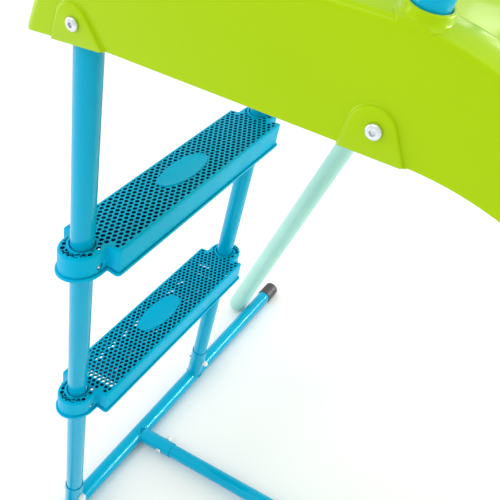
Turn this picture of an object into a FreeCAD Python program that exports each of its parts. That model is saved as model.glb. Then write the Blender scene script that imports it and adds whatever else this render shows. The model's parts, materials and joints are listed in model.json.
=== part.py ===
"""Children's pool slide: a two-post step ladder, handrails, a moulded slide trough, a floor frame
and a swing-up stabiliser leg.

Millimetres, +Z up. Everything is laid out from the point on the ground under the middle of the rear
base bar, and moved at the end so that the origin is the middle of the footprint, on the ground. +X
runs from the ladder towards the slide's exit, and +Y is the side with the stabiliser leg.
"""
import FreeCAD, Part
import math
import os

V = FreeCAD.Vector

# ---- driving dimensions ----------------------------------------------------------------------
BAR_AXIS_Z = 15.0           # height of every floor tube's axis above the ground
LEAN = 14.7                 # degrees that the ladder leans towards the slide
TUBE_D = 25.4               # ladder posts, handrails and front uprights
TUBE_WALL = 1.5
POST_HALF_SPACING = 172.1   # posts stand at Y = +/- this
POST_FOOT = 18.0            # start of a post, along its axis from the base bar's axis
POST_TOP_Z = 900.0          # where a post ends inside the slide's side rail
SPIGOT_D = 22.0             # necked end of a handrail, which plugs into the post

BAR_D = 26.7                # floor cross bars
REAR_BAR_HALF = 455.0
FRONT_BAR_HALF = 245.0
FRONT_BAR_X = 1640.0
CAP_LENGTH = 23.0
CAP_D = 30.2                # a hair over the ground clearance, flattened where it stands
SOCKET_D = 28.4             # post sockets welded to the rear bar
SOCKET_LENGTH = 81.0
SOCKET_WALL = 1.2
SOCKET_BOLT_Z = 63.0
CENTRE_D = 23.2             # floor tube along the middle
TEE_D = 26.2                # sleeves that hold it
TEE_LENGTH = 77.0
TEE_WALL = 1.3
TEE_BOLT = 56.0             # bolt's distance from the cross bar's axis
CENTRE_WALL = 1.4
CENTRE_JOINT_X = 850.0      # where the centre tube's two lengths meet
CENTRE_NECK = 60.0          # length of the neck that plugs in

TREAD_PITCH = 269.0
LOWER_TREAD_Z = 364.5       # top of the lower tread
TREAD_TOPS = (LOWER_TREAD_Z, LOWER_TREAD_Z + TREAD_PITCH)
TREAD_HALF = 160.0          # half the length of the straight part of a tread
TREAD_BACK = 39.0           # tread edges behind and in front of the posts' axes
TREAD_FRONT = 40.5
COLLAR_R = 26.0             # rounded ends that wrap the posts
SKIRT_DEPTH = 29.0
TREAD_LIP = 4.0             # thickness of the flange under the skirt
TREAD_LIP_OUT = 2.6
TREAD_WALL = 2.6
DECK_THICK = 3.0
HOLE_D = 4.9
HOLE_PITCH = 7.2
HOLE_CENTRE_X = 0.6         # middle of the rows of holes, from the posts' axes
HOLE_ROW = HOLE_PITCH * math.sqrt(3) / 2
SMALLEST_HOLE = 3.0         # trimmed holes under this area are left out
FIELD_INSET = 4.0           # solid margin round the holes
RING_D = 32.5               # raised ring round a post, and the solid margin round it
RING_RISE = 2.4
RING_MARGIN_R = 17.5
POST_GAP = 0.35             # clearance of treads round the posts
FRAME_REACH = 12.0          # height of the tread frame's ribs inside the deck
FRAME_RIBS = 12
FRAME_RIB_PITCH = 26.9
LONG_RIB_X = (-12.0, 4.0, 20.0)
LONG_RIB_HALF = 118.0
RIB_THICK = 2.0
PAD_HALF_X = 18.5           # plain oval pad in the middle of the deck
PAD_HALF_Y = 42.5
PAD_RISE = 1.2
SCREW_DROP = 21.0           # screws below the deck's top
SCREW_D = 3.4
SCREW_HEAD_D = 7.4
SCREW_HEAD_H = 2.6
POCKET_D = 8.4
POCKET_DEPTH = 6.0

RAIL_OUT = 189.6            # the slide's outer and inner side faces
RAIL_IN = 154.6
SKIN = 3.6                  # moulding thickness
SLIDE_REAR_X = 174.0        # lower rear corner of the slide
SLIDE_REAR_Z = 867.8
SLIDE_EXIT_X = 1803.0
PLATFORM_FALL = 5.0         # degrees
RUN_FALL = 38.0
EXIT_FALL = 4.0
CREST_X = 492.0             # where the platform turns down
CREST_R = 205.0
RUNOUT_R = 450.0
RUNOUT_LENGTH = 200.0
RIM_SHIFT = (-14.0, 92.0)   # rim line from the lower edge, in X and Z
BED_RISE = 38.0             # sliding surface above the lower edge
RIM_START_X = 229.0
RIM_END_X = 1690.0
RIM_CORNER_R = 26.0         # upper corners of the rails, seen from the side
RIM_ROUND_R = 8.0           # rounding along the rails
RIB_X = [345.0 + 150.0 * i for i in range(10)]    # stiffening ribs under the bed
END_WALL_X = 24.0           # the bed's rear wall, from the lower rear corner
EAR_PROUD = 3.0
EAR_R = 17.0
EAR_DROP = 1.0              # foot of an ear below the rail's edge

REAR_BOLT_Z = 879.8         # bolt through the rear ear, the post and the handrail
FRONT_BOLT = (473.4, 857.3)  # bolt through the front ear and the handrail
EXIT_BOLT_RISE = 20.0       # bolt in the front uprights, above the slide's lower edge
HANDRAIL_TOP_Z = 1165.0
HANDRAIL_R = 72.0
HANDRAIL_END = 14.0         # how far the front leg runs past its bolt
BOSS_D = 35.4
BOSS_RISE = 2.0

BOLT_D = 6.0
BOLT_HOLE_D = 6.6
HEAD_D = 11.6
HEAD_H = 3.4

LEG_TOP = (411.0, 207.0, 862.0)    # pivot of the stabiliser leg
LEG_FOOT = (-37.4, 390.5, 18.5)    # centre of its domed foot
LEG_TOP_D = 26.0
LEG_FOOT_D = 37.0
LEG_HUB_D = 34.0
LEG_HUB_HALF = 13.5
LEG_BORE_D = 6.16
LEG_STRETCHES = 6           # lengths that its tapered wall is divided into
LEG_FACE_D = 15.0           # flat face for the pivot bolt's head
SEAT_GAP = 0.1              # under every bolt head and nut
PIVOT_GAP = 0.3             # each side of the leg's hub
THREAD_GAP = 0.05

FOOTPRINT_MID_X = (SLIDE_EXIT_X + LEG_FOOT[0] - LEG_FOOT_D / 2) / 2

TAN = math.tan(math.radians(LEAN))
POST_DIR = V(math.sin(math.radians(LEAN)), 0, math.cos(math.radians(LEAN)))
POST_ACROSS = V(POST_DIR.z, 0, -POST_DIR.x)       # square to the posts, towards the slide
SIDES = {"near": -1, "far": 1}


# ---- small helpers ---------------------------------------------------------------------------
def post_x(z):
    """X of the ladder plane at a height."""
    return (z - BAR_AXIS_Z) * TAN


def rod(start, end, d):
    """Solid round bar between two points."""
    axis = end - start
    return Part.makeCylinder(d / 2, axis.Length, start, axis)


def tube(start, end, d, wall=TUBE_WALL):
    """Round tube between two points."""
    return rod(start, end, d).cut(rod(start, end, d - 2 * wall))


def along_y(x, z, y0, y1, d):
    """Round bar parallel to Y."""
    return rod(V(x, y0, z), V(x, y1, z), d)


def along_x(y, z, x0, x1, d):
    """Round bar parallel to X."""
    return rod(V(x0, y, z), V(x1, y, z), d)


def mirror_y(shape):
    return shape.mirror(V(0, 0, 0), V(0, 1, 0))


def side_solid(wire, y0, y1):
    """A closed outline in the XZ plane, made solid between two Y stations."""
    face = Part.Face(wire)
    face.translate(V(0, y0, 0))
    return face.extrude(V(0, y1 - y0, 0))


def hex_prism(centre, axis, across, length):
    """Hexagonal bar of a size across its flats, from a point along an axis."""
    points = []
    for i in range(6):
        a = math.radians(60 * i)
        points.append(V(across / math.sqrt(3) * math.cos(a), across / math.sqrt(3) * math.sin(a), 0))
    prism = Part.Face(Part.makePolygon(points + [points[0]])).extrude(V(0, 0, length))
    prism.Placement = FreeCAD.Placement(centre, FreeCAD.Rotation(V(0, 0, 1), axis))
    return prism


def button_bolt(seat, axis, grip):
    """Button-head bolt: seat is under the head, axis points from the head into the joint."""
    axis = V(axis).normalize()
    head = Part.makeCylinder(HEAD_D / 2, HEAD_H, seat, -axis)
    crown = [e for e in head.Edges if (e.CenterOfMass - seat).dot(-axis) > HEAD_H - 0.1]
    head = head.makeFillet(HEAD_H * 0.55, crown)
    socket = hex_prism(seat - axis * (HEAD_H + 0.1), axis, 4.0, 2.3)
    return head.cut(socket).fuse(Part.makeCylinder(BOLT_D / 2, grip, seat, axis)).removeSplitter()


def cap_nut(seat, axis, across=10.0, bore_depth=8.0):
    """Domed nut: seat is its contact face, axis points away from the joint."""
    axis = V(axis).normalize()
    flats = hex_prism(seat, axis, across, 5.0)
    dome = Part.makeSphere(across / 2 - 0.4, seat + axis * 5.0)
    keep = Part.makeCylinder(across, 14, seat, axis)
    nut = flats.fuse(dome.common(keep)).removeSplitter()
    return nut.cut(Part.makeCylinder(BOLT_D / 2 + THREAD_GAP, bore_depth, seat, axis))


# ---- the slide's side curve ------------------------------------------------------------------
def curve_points():
    """Ends of the five stretches of the slide's lower edge: platform, crest, run, sweep, run-out."""
    a, b, c = (math.radians(x) for x in (PLATFORM_FALL, RUN_FALL, EXIT_FALL))
    crest = V(CREST_X, 0, SLIDE_REAR_Z - (CREST_X - SLIDE_REAR_X) * math.tan(a))
    run = crest + V(CREST_R * (math.sin(b) - math.sin(a)), 0, CREST_R * (math.cos(b) - math.cos(a)))
    end_x = SLIDE_EXIT_X
    flat_x = end_x - RUNOUT_LENGTH * math.cos(c)
    sweep_x = flat_x - RUNOUT_R * (math.sin(b) - math.sin(c))
    sweep = run + V(sweep_x - run.x, 0, -(sweep_x - run.x) * math.tan(b))
    flat = V(flat_x, 0, sweep.z - RUNOUT_R * (math.cos(c) - math.cos(b)))
    return crest, run, sweep, flat


CREST, RUN, SWEEP, FLAT = curve_points()


def edge_z(x):
    """Height of the slide's lower edge at X."""
    a, b, c = (math.radians(v) for v in (PLATFORM_FALL, RUN_FALL, EXIT_FALL))
    if x <= CREST.x:
        return SLIDE_REAR_Z - (x - SLIDE_REAR_X) * math.tan(a)
    if x <= RUN.x:
        t = math.asin(math.sin(a) + (x - CREST.x) / CREST_R)
        return CREST.z + CREST_R * (math.cos(t) - math.cos(a))
    if x <= SWEEP.x:
        return RUN.z - (x - RUN.x) * math.tan(b)
    if x <= FLAT.x:
        t = math.asin(math.sin(b) - (x - SWEEP.x) / RUNOUT_R)
        return SWEEP.z - RUNOUT_R * (math.cos(t) - math.cos(b))
    return FLAT.z - (x - FLAT.x) * math.tan(c)


def side_curve(dx, dz, x0, x1):
    """Edges of the side curve moved by dx, dz, between two X stations of the moved curve."""
    shift = V(dx, 0, dz)

    def at(x):
        return V(x, 0, edge_z(x - dx) + dz)

    def arc(p, q):
        return Part.Arc(p + shift, at((p.x + q.x) / 2 + dx), q + shift).toShape()

    return [
        Part.makeLine(at(x0), CREST + shift),
        arc(CREST, RUN),
        Part.makeLine(RUN + shift, SWEEP + shift),
        arc(SWEEP, FLAT),
        Part.makeLine(FLAT + shift, at(x1)),
    ]


def band(lower, upper, ends_lower, ends_upper):
    """Closed wire between two moved copies of the side curve."""
    low = side_curve(lower[0], lower[1], *ends_lower)
    top = side_curve(upper[0], upper[1], *ends_upper)
    rear = Part.makeLine(top[0].Vertexes[0].Point, low[0].Vertexes[0].Point)
    front = Part.makeLine(low[-1].Vertexes[-1].Point, top[-1].Vertexes[-1].Point)
    return Part.Wire(Part.__sortEdges__(low + [front] + top + [rear]))


# ---- slide body ------------------------------------------------------------------------------
def rail_block(y0, y1, inset, corner_r, round_r):
    """One side rail, solid: inset shrinks it all round except at its open lower side."""
    drop = 12.0 if inset else 0.0
    wire = band(
        (0, -drop),
        (RIM_SHIFT[0], RIM_SHIFT[1] - inset),
        (SLIDE_REAR_X + inset, SLIDE_EXIT_X - inset),
        (RIM_START_X + inset, RIM_END_X - inset),
    )
    block = side_solid(wire, y0, y1)
    cross = []
    for e in block.Edges:
        a, b = (v.Point for v in (e.Vertexes[0], e.Vertexes[-1]))
        level = abs(a.x - b.x) < 0.01 and abs(a.z - b.z) < 0.01
        high = a.z > edge_z(min(max(a.x, SLIDE_REAR_X), SLIDE_EXIT_X)) + 20
        if level and high and (a.x < RIM_START_X + 9 or a.x > RIM_END_X - 9):
            cross.append(e)
    block = block.makeFillet(corner_r, cross)
    rounded = []
    for e in block.Edges:
        a, b = (v.Point for v in (e.Vertexes[0], e.Vertexes[-1]))
        flat = abs(a.y - b.y) < 0.01
        mid = e.CenterOfMass
        above = mid.z > edge_z(min(max(mid.x, SLIDE_REAR_X), SLIDE_EXIT_X)) + 8
        if flat and above:
            rounded.append(e)
    return block.makeFillet(round_r, rounded)


def ear(x, z, half_foot, y):
    """Raised pad round a bolt: a rounded top that widens to a foot along the rail's edge."""
    r = EAR_R
    left = V(x - half_foot, y, edge_z(x - half_foot) - EAR_DROP)
    right = V(x + half_foot, y, edge_z(x + half_foot) - EAR_DROP)
    top_left = V(x - r * 0.92, y, z + r * 0.39)
    top_right = V(x + r * 0.92, y, z + r * 0.39)
    crown = Part.Arc(top_left, V(x, y, z + r), top_right).toShape()
    wire = Part.Wire([Part.makeLine(left, top_left), crown, Part.makeLine(top_right, right),
                      Part.makeLine(right, left)])
    pad = Part.Face(wire).extrude(V(0, EAR_PROUD + SKIN, 0))
    outer = [e for e in pad.Edges if abs(e.CenterOfMass.y - (y + EAR_PROUD + SKIN)) < 0.01]
    return pad.makeFillet(2.0, outer)


def slide_rail():
    """The +Y side rail: an inverted channel with ears, tube holes and rim bosses."""
    inner_corner = RIM_CORNER_R - SKIN
    inner_round = RIM_ROUND_R - SKIN
    rail = rail_block(RAIL_IN, RAIL_OUT, 0, RIM_CORNER_R, RIM_ROUND_R)
    hollow = rail_block(RAIL_IN + SKIN, RAIL_OUT - SKIN, SKIN, inner_corner, inner_round)
    room = rail_block(RAIL_IN + 1, RAIL_OUT - 1, SKIN, inner_corner, inner_round)
    rail = rail.cut(hollow)
    rear_x = post_x(REAR_BOLT_Z)
    face_y = RAIL_OUT - SKIN
    rail = rail.fuse([
        ear(rear_x, REAR_BOLT_Z, 27.0, face_y),
        ear(FRONT_BOLT[0], FRONT_BOLT[1], 23.5, face_y),
    ])
    for x, z in ((rear_x, REAR_BOLT_Z), FRONT_BOLT):
        foot = V(x, POST_HALF_SPACING, z) + POST_DIR * 40
        rim_z = edge_z(x + 25) + RIM_SHIFT[1]
        reach = (rim_z - z) / POST_DIR.z
        top = V(x, POST_HALF_SPACING, z) + POST_DIR * (reach + BOSS_RISE)
        rail = rail.fuse(rod(foot, top, BOSS_D).cut(room))
        rail = rail.cut(rod(foot, top + POST_DIR * 20, TUBE_D + 0.8))
        rail = rail.cut(along_y(x, z, RAIL_IN - 5, RAIL_OUT + 10, BOLT_HOLE_D))
    exit_z = edge_z(FRONT_BAR_X) + EXIT_BOLT_RISE
    rail = rail.cut(along_y(FRONT_BAR_X, exit_z, RAIL_IN - 5, RAIL_OUT + 10, BOLT_HOLE_D))
    return rail


def slide_body():
    """Trough: two rails, the sliding bed, end walls and stiffening ribs under the bed."""
    rail = slide_rail()
    pivot_hole = along_y(LEG_TOP[0], LEG_TOP[2], RAIL_IN - 5, RAIL_OUT + 10, BOLT_HOLE_D)
    far = rail.cut(pivot_hole)
    near = mirror_y(rail)
    reach = RAIL_IN + SKIN / 2
    ends = (SLIDE_REAR_X + END_WALL_X, SLIDE_EXIT_X)
    bed = side_solid(band((0, BED_RISE - SKIN), (0, BED_RISE), ends, ends), -reach, reach)
    pieces = [near, bed]
    for x in (ends[0], SLIDE_EXIT_X - SKIN):
        foot = edge_z(x) + 2
        pieces.append(Part.makeBox(SKIN, 2 * reach, BED_RISE - 3, V(x, -reach, foot)))
    for x in RIB_X:
        foot = edge_z(x) + 10
        pieces.append(Part.makeBox(SKIN, 2 * reach, BED_RISE - 12, V(x, -reach, foot)))
    return far.fuse(pieces).removeSplitter()


# ---- ladder ----------------------------------------------------------------------------------
def on_post(side, z):
    return V(post_x(z), side * POST_HALF_SPACING, z)


def ladder_post(side):
    """Straight tube from the floor socket up into the slide's rail, drilled for its bolts."""
    foot = V(0, side * POST_HALF_SPACING, BAR_AXIS_Z) + POST_DIR * POST_FOOT
    post = tube(foot, on_post(side, POST_TOP_Z), TUBE_D)
    y = side * POST_HALF_SPACING
    post = post.cut(along_y(post_x(REAR_BOLT_Z), REAR_BOLT_Z, y - 20, y + 20, BOLT_HOLE_D))
    post = post.cut(socket_bolt_hole(side))
    for tread_z in TREAD_TOPS:
        z = tread_z - SCREW_DROP
        post = post.cut(along_x(y, z, post_x(z), post_x(z) + 20, SCREW_D + 0.2))
    return post


def socket_bolt_hole(side):
    """Hole square through a post and its floor socket."""
    middle = on_post(side, SOCKET_BOLT_Z)
    return rod(middle - POST_ACROSS * 20, middle + POST_ACROSS * 20, BOLT_HOLE_D)


def tread_outline():
    """Outline of a tread's top about the posts' axes: a bar with a rounded collar at each end."""
    bar = Part.makePlane(TREAD_BACK + TREAD_FRONT, 2 * TREAD_HALF, V(-TREAD_BACK, -TREAD_HALF, 0))
    ends = []
    for side in (-1, 1):
        y = side * POST_HALF_SPACING
        low = min(y, side * (TREAD_HALF - 10))
        span = POST_HALF_SPACING - TREAD_HALF + 10
        ends.append(Part.makePlane(2 * COLLAR_R, span, V(-COLLAR_R, low, 0)))
        ends.append(Part.Face(Part.Wire(Part.makeCircle(COLLAR_R, V(0, y, 0)))))
    return bar.fuse(ends).removeSplitter().Faces[0]


def perforations(field):
    """Wires of the staggered round holes, trimmed where they meet the edge of their field."""
    wires = []
    rows = int((POST_HALF_SPACING + COLLAR_R) / HOLE_ROW) + 1
    columns = int(TREAD_FRONT / HOLE_PITCH) + 1
    rim = Part.Compound(field.Wires)
    for row in range(-rows, rows + 1):
        y = row * HOLE_ROW
        offset = HOLE_PITCH / 2 if row % 2 else 0.0
        for column in range(-columns, columns + 1):
            centre = V(column * HOLE_PITCH + offset + HOLE_CENTRE_X, y, 0)
            ring = Part.Wire(Part.makeCircle(HOLE_D / 2, centre))
            gap = rim.distToShape(Part.Vertex(centre))[0]
            if gap >= HOLE_D / 2:
                if field.isInside(centre, 0.001, True):
                    wires.append(ring)
            else:
                piece = Part.Face(ring).common(field)
                wires += [f.OuterWire for f in piece.Faces if f.Area > SMALLEST_HOLE]
    return wires


def slanted(face, z, depth):
    """Extrude a face downwards along the posts' direction, from a height."""
    shape = face.copy()
    shape.translate(V(z * TAN, 0, z))
    return shape.extrude(V(-depth * TAN, 0, -depth))


def tread_deck():
    """Tread top, about the post axes at the deck's top: perforated deck, skirts and collars."""
    outline = tread_outline()
    field = outline.makeOffset2D(-FIELD_INSET)
    middle = V(HOLE_CENTRE_X, 0, 0)
    pad_edge = Part.Ellipse(middle + V(0, PAD_HALF_Y, 0), middle + V(PAD_HALF_X, 0, 0), middle)
    pad = Part.Face(Part.Wire(pad_edge.toShape()))
    post_pads = [Part.Face(Part.Wire(Part.makeCircle(RING_MARGIN_R, V(0, s * POST_HALF_SPACING, 0))))
                 for s in (-1, 1)]
    field = field.cut([pad] + post_pads).Faces[0]
    plate = Part.makeFace([outline.OuterWire] + perforations(field), "Part::FaceMakerBullseye")
    deck = plate.extrude(V(0, 0, -DECK_THICK))
    inside = outline.makeOffset2D(-TREAD_WALL)
    skirt = slanted(outline.cut(inside), 0, SKIRT_DEPTH)
    extras = [skirt, pad.extrude(V(0, 0, PAD_RISE))]
    x = -SCREW_DROP * TAN
    ends = [V(0, s * POST_HALF_SPACING, 0) for s in (-1, 1)]
    for at in ends:
        level = Part.makeBox(4 * RING_D, 4 * RING_D, SKIRT_DEPTH + RING_RISE,
                             at - V(2 * RING_D, 2 * RING_D, SKIRT_DEPTH))
        ring = rod(at - POST_DIR * (SKIRT_DEPTH - 2), at + POST_DIR * 2 * RING_RISE, RING_D)
        extras.append(ring.common(level))
        extras.append(along_x(at.y, -SCREW_DROP, x + 14, x + COLLAR_R - 0.2, POCKET_D + 3.6))
    deck = deck.fuse(extras)
    for at in ends:
        deck = deck.cut(post_clearance(at))
        pocket = x + COLLAR_R - POCKET_DEPTH
        deck = deck.cut(along_x(at.y, -SCREW_DROP, pocket, x + COLLAR_R + 2, POCKET_D))
        deck = deck.cut(along_x(at.y, -SCREW_DROP, x, x + COLLAR_R, SCREW_D + 1.0))
    return deck


def post_clearance(at, d=TUBE_D + 2 * POST_GAP):
    """Leaning bar that clears a post through a tread, about the deck's top."""
    return rod(at - POST_DIR * 60, at + POST_DIR * 10, d)


def tread_frame():
    """Open frame that closes a tread from below: flange, cross ribs and post rings."""
    outline = tread_outline()
    flange = outline.makeOffset2D(TREAD_LIP_OUT).cut(outline.makeOffset2D(-6.0))
    frame = slanted(flange, -SKIRT_DEPTH, TREAD_LIP)
    inside = outline.makeOffset2D(-TREAD_WALL - 0.4)
    room = slanted(inside, FRAME_REACH - SKIRT_DEPTH, FRAME_REACH + TREAD_LIP)
    low = -SKIRT_DEPTH - 20
    pieces = []
    for x in LONG_RIB_X:
        corner = V(x - RIB_THICK / 2, -LONG_RIB_HALF, low)
        pieces.append(Part.makeBox(RIB_THICK, 2 * LONG_RIB_HALF, 40, corner).common(room))
    for i in range(FRAME_RIBS):
        y = (i - (FRAME_RIBS - 1) / 2) * FRAME_RIB_PITCH
        pieces.append(Part.makeBox(120, RIB_THICK, 40, V(-70, y - RIB_THICK / 2, low)).common(room))
    ends = [V(0, s * POST_HALF_SPACING, 0) for s in (-1, 1)]
    for at in ends:
        ring = post_clearance(at, RING_D + 7.5)
        pieces.append(ring.common(slanted(outline, -SKIRT_DEPTH, TREAD_LIP)))
    frame = frame.fuse(pieces).removeSplitter()
    for at in ends:
        above = Part.makeBox(80, 60, 60, at + V(-50, -30, -SKIRT_DEPTH))
        frame = frame.cut(post_clearance(at, RING_D + 0.6).common(above))
        frame = frame.cut(post_clearance(at))
    return frame


def at_tread(shape, z):
    placed = shape.copy()
    placed.translate(V(post_x(z), 0, z))
    return placed


def tread_screws():
    """Pan-head screws through the collars into the posts."""
    screws = []
    for top in TREAD_TOPS:
        z = top - SCREW_DROP
        for side in (-1, 1):
            y = side * POST_HALF_SPACING
            seat = post_x(z) + COLLAR_R - POCKET_DEPTH
            head = along_x(y, z, seat, seat + SCREW_HEAD_H, SCREW_HEAD_D)
            crown = [e for e in head.Edges if e.CenterOfMass.x > seat + SCREW_HEAD_H - 0.1]
            head = head.makeFillet(SCREW_HEAD_H / 2, crown)
            screws.append(head.fuse(along_x(y, z, post_x(z) + 9.0, seat, SCREW_D)).removeSplitter())
    return Part.Compound(screws)


# ---- handrails -------------------------------------------------------------------------------
def handrail_route(side):
    """Wire of a handrail: up from the post, over, and down into the front ear."""
    y = side * POST_HALF_SPACING
    start = on_post(side, POST_TOP_Z)
    rear_top = V(post_x(HANDRAIL_TOP_Z), y, HANDRAIL_TOP_Z)
    bolt = V(FRONT_BOLT[0], y, FRONT_BOLT[1])
    front_top = bolt + POST_DIR * ((HANDRAIL_TOP_Z - bolt.z) / POST_DIR.z)
    end = bolt - POST_DIR * HANDRAIL_END
    points = [start, rear_top, front_top, end]
    edges = []
    at = points[0]
    for before, corner, after in zip(points, points[1:], points[2:]):
        u = (corner - before).normalize()
        w = (after - corner).normalize()
        turn = math.acos(u.dot(w))
        setback = HANDRAIL_R * math.tan(turn / 2)
        p = corner - u * setback
        q = corner + w * setback
        bisector = (w - u).normalize()
        middle = corner + bisector * (HANDRAIL_R / math.cos(turn / 2) - HANDRAIL_R)
        edges.append(Part.makeLine(at, p))
        edges.append(Part.Arc(p, middle, q).toShape())
        at = q
    edges.append(Part.makeLine(at, points[-1]))
    return Part.Wire(edges)


def swept(route, d):
    start = route.Edges[0].Vertexes[0].Point
    ring = Part.Wire(Part.makeCircle(d / 2, start, POST_DIR))
    return route.makePipeShell([ring], True, False)


def handrail(side):
    """Bent tube with a necked spigot that plugs into the ladder post."""
    route = handrail_route(side)
    rail = swept(route, TUBE_D).cut(swept(route, TUBE_D - 2 * TUBE_WALL))
    top = on_post(side, POST_TOP_Z)
    spigot = tube(top - POST_DIR * 42, top + POST_DIR * 6, SPIGOT_D)
    neck = rod(top, top + POST_DIR * 3, TUBE_D - TUBE_WALL).cut(
        rod(top, top + POST_DIR * 3, SPIGOT_D - 2 * TUBE_WALL))
    rail = rail.fuse([spigot, neck]).removeSplitter()
    y = side * POST_HALF_SPACING
    rail = rail.cut(along_y(post_x(REAR_BOLT_Z), REAR_BOLT_Z, y - 20, y + 20, BOLT_HOLE_D))
    rail = rail.cut(along_y(FRONT_BOLT[0], FRONT_BOLT[1], y - 20, y + 20, BOLT_HOLE_D))
    return rail


def handrail_plugs():
    """Push-in plugs in the handrails' lower front ends."""
    plugs = []
    for side in SIDES.values():
        bolt = V(FRONT_BOLT[0], side * POST_HALF_SPACING, FRONT_BOLT[1])
        end = bolt - POST_DIR * HANDRAIL_END
        plug = rod(end - POST_DIR * 2.0, end, TUBE_D - 1.0).fuse(
            rod(end, end + POST_DIR * 7, TUBE_D - 2 * TUBE_WALL - 0.3))
        plugs.append(plug.removeSplitter())
    return Part.Compound(plugs)


# ---- floor frame -----------------------------------------------------------------------------
def cross_bar(x, half):
    return tube(V(x, -half, BAR_AXIS_Z), V(x, half, BAR_AXIS_Z), BAR_D)


def tee_sleeve(x, direction):
    """Sleeve welded to a cross bar, which takes an end of the centre tube."""
    end = V(x + direction * TEE_LENGTH, 0, BAR_AXIS_Z)
    sleeve = tube(V(x, 0, BAR_AXIS_Z), end, TEE_D, TEE_WALL)
    return sleeve.cut(along_y(x + direction * TEE_BOLT, BAR_AXIS_Z, -20, 20, BOLT_HOLE_D))


def rear_base_bar():
    """Rear floor bar with two leaning post sockets and the sleeve of the centre tube."""
    parts = [tee_sleeve(0, 1)]
    for side in SIDES.values():
        foot = V(0, side * POST_HALF_SPACING, BAR_AXIS_Z)
        socket = tube(foot, foot + POST_DIR * SOCKET_LENGTH, SOCKET_D, SOCKET_WALL)
        parts.append(socket.cut(socket_bolt_hole(side)))
    solid_bar = along_y(0, BAR_AXIS_Z, -REAR_BAR_HALF, REAR_BAR_HALF, BAR_D)
    bar = cross_bar(0, REAR_BAR_HALF)
    outside = [p.cut(solid_bar) for p in parts]
    return bar.fuse([largest(p) for p in outside]).removeSplitter()


def largest(shape):
    return max(shape.Solids, key=lambda s: s.Volume)


def front_base_bar():
    """Front floor bar with uprights into the slide's rails and the centre tube's sleeve."""
    top = edge_z(FRONT_BAR_X) + EXIT_BOLT_RISE + 18
    solid_bar = along_y(FRONT_BAR_X, BAR_AXIS_Z, -FRONT_BAR_HALF, FRONT_BAR_HALF, BAR_D)
    parts = [tee_sleeve(FRONT_BAR_X, -1)]
    for side in SIDES.values():
        y = side * POST_HALF_SPACING
        upright = tube(V(FRONT_BAR_X, y, BAR_AXIS_Z), V(FRONT_BAR_X, y, top), TUBE_D)
        z = edge_z(FRONT_BAR_X) + EXIT_BOLT_RISE
        parts.append(upright.cut(along_y(FRONT_BAR_X, z, y - 20, y + 20, BOLT_HOLE_D)))
    bar = cross_bar(FRONT_BAR_X, FRONT_BAR_HALF)
    return bar.fuse([largest(p.cut(solid_bar)) for p in parts]).removeSplitter()


def end_cap(x, half, side):
    """Plastic cap on the end of a floor bar, with a plug inside the tube."""
    y = side * half
    cup = along_y(x, BAR_AXIS_Z, y - side * 14, y + side * CAP_LENGTH, CAP_D)
    rims = [e for e in cup.Edges if abs(e.CenterOfMass.y - (y + side * CAP_LENGTH)) < 0.1]
    cup = cup.makeFillet(4.0, rims)
    cup = cup.cut(along_y(x, BAR_AXIS_Z, y - side * 15, y, BAR_D + 0.3))
    plug = along_y(x, BAR_AXIS_Z, y - side * 13, y + side, BAR_D - 2 * TUBE_WALL - 0.4)
    below = Part.makeBox(2 * CAP_D, 4 * CAP_LENGTH, CAP_D, V(x - CAP_D, y - 2 * CAP_LENGTH, -CAP_D))
    return cup.fuse(plug).cut(below).removeSplitter()


def centre_tubes():
    """Two lengths of the centre floor tube: the front one is necked and plugs into the rear one."""
    start = V(CENTRE_JOINT_X, 0, BAR_AXIS_Z)
    rear = tube(V(BAR_D / 2 + 1, 0, BAR_AXIS_Z), start, CENTRE_D, CENTRE_WALL)
    rear = rear.cut(along_y(TEE_BOLT, BAR_AXIS_Z, -20, 20, BOLT_HOLE_D))
    joint = CENTRE_JOINT_X - CENTRE_NECK / 2
    rear = rear.cut(along_y(joint, BAR_AXIS_Z, -20, 20, BOLT_HOLE_D))
    end = V(FRONT_BAR_X - BAR_D / 2 - 1, 0, BAR_AXIS_Z)
    tip = start - V(CENTRE_NECK, 0, 0)
    shoulder = start + V(4, 0, 0)
    neck_d = CENTRE_D - 2 * CENTRE_WALL - 0.3
    front = rod(start, end, CENTRE_D).fuse(rod(tip, start, neck_d))
    front = front.cut(rod(tip, shoulder, neck_d - 2 * CENTRE_WALL))
    front = front.cut(rod(shoulder, end, CENTRE_D - 2 * CENTRE_WALL))
    front = front.cut(along_y(FRONT_BAR_X - TEE_BOLT, BAR_AXIS_Z, -20, 20, BOLT_HOLE_D))
    front = front.cut(along_y(joint, BAR_AXIS_Z, -20, 20, BOLT_HOLE_D))
    return rear, front.removeSplitter()


# ---- fasteners -------------------------------------------------------------------------------
def cross_fastener(seat, axis, grip):
    """Bolt and domed nut across a joint of a given thickness."""
    axis = V(axis).normalize()
    return button_bolt(seat, axis, grip + 7.5), cap_nut(seat + axis * grip, axis)


def socket_fasteners():
    half = SOCKET_D / 2 + SEAT_GAP
    pairs = []
    for side in SIDES.values():
        seat = on_post(side, SOCKET_BOLT_Z) - POST_ACROSS * half
        pairs.append(cross_fastener(seat, POST_ACROSS, 2 * half))
    return pairs


def centre_fasteners():
    pairs = []
    for x, d in ((TEE_BOLT, TEE_D), (CENTRE_JOINT_X - CENTRE_NECK / 2, CENTRE_D),
                 (FRONT_BAR_X - TEE_BOLT, TEE_D)):
        seat = V(x, -d / 2 - SEAT_GAP, BAR_AXIS_Z)
        pairs.append(cross_fastener(seat, V(0, 1, 0), d + 2 * SEAT_GAP))
    return pairs


def rail_fasteners(x, z, proud):
    """Bolt through a side rail on each side, head outside, domed nut under the bed."""
    pairs = []
    for side in SIDES.values():
        seat = V(x, side * (RAIL_OUT + proud + SEAT_GAP), z)
        grip = RAIL_OUT + proud - RAIL_IN + 2 * SEAT_GAP
        pairs.append(cross_fastener(seat, V(0, -side, 0), grip))
    return pairs


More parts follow.
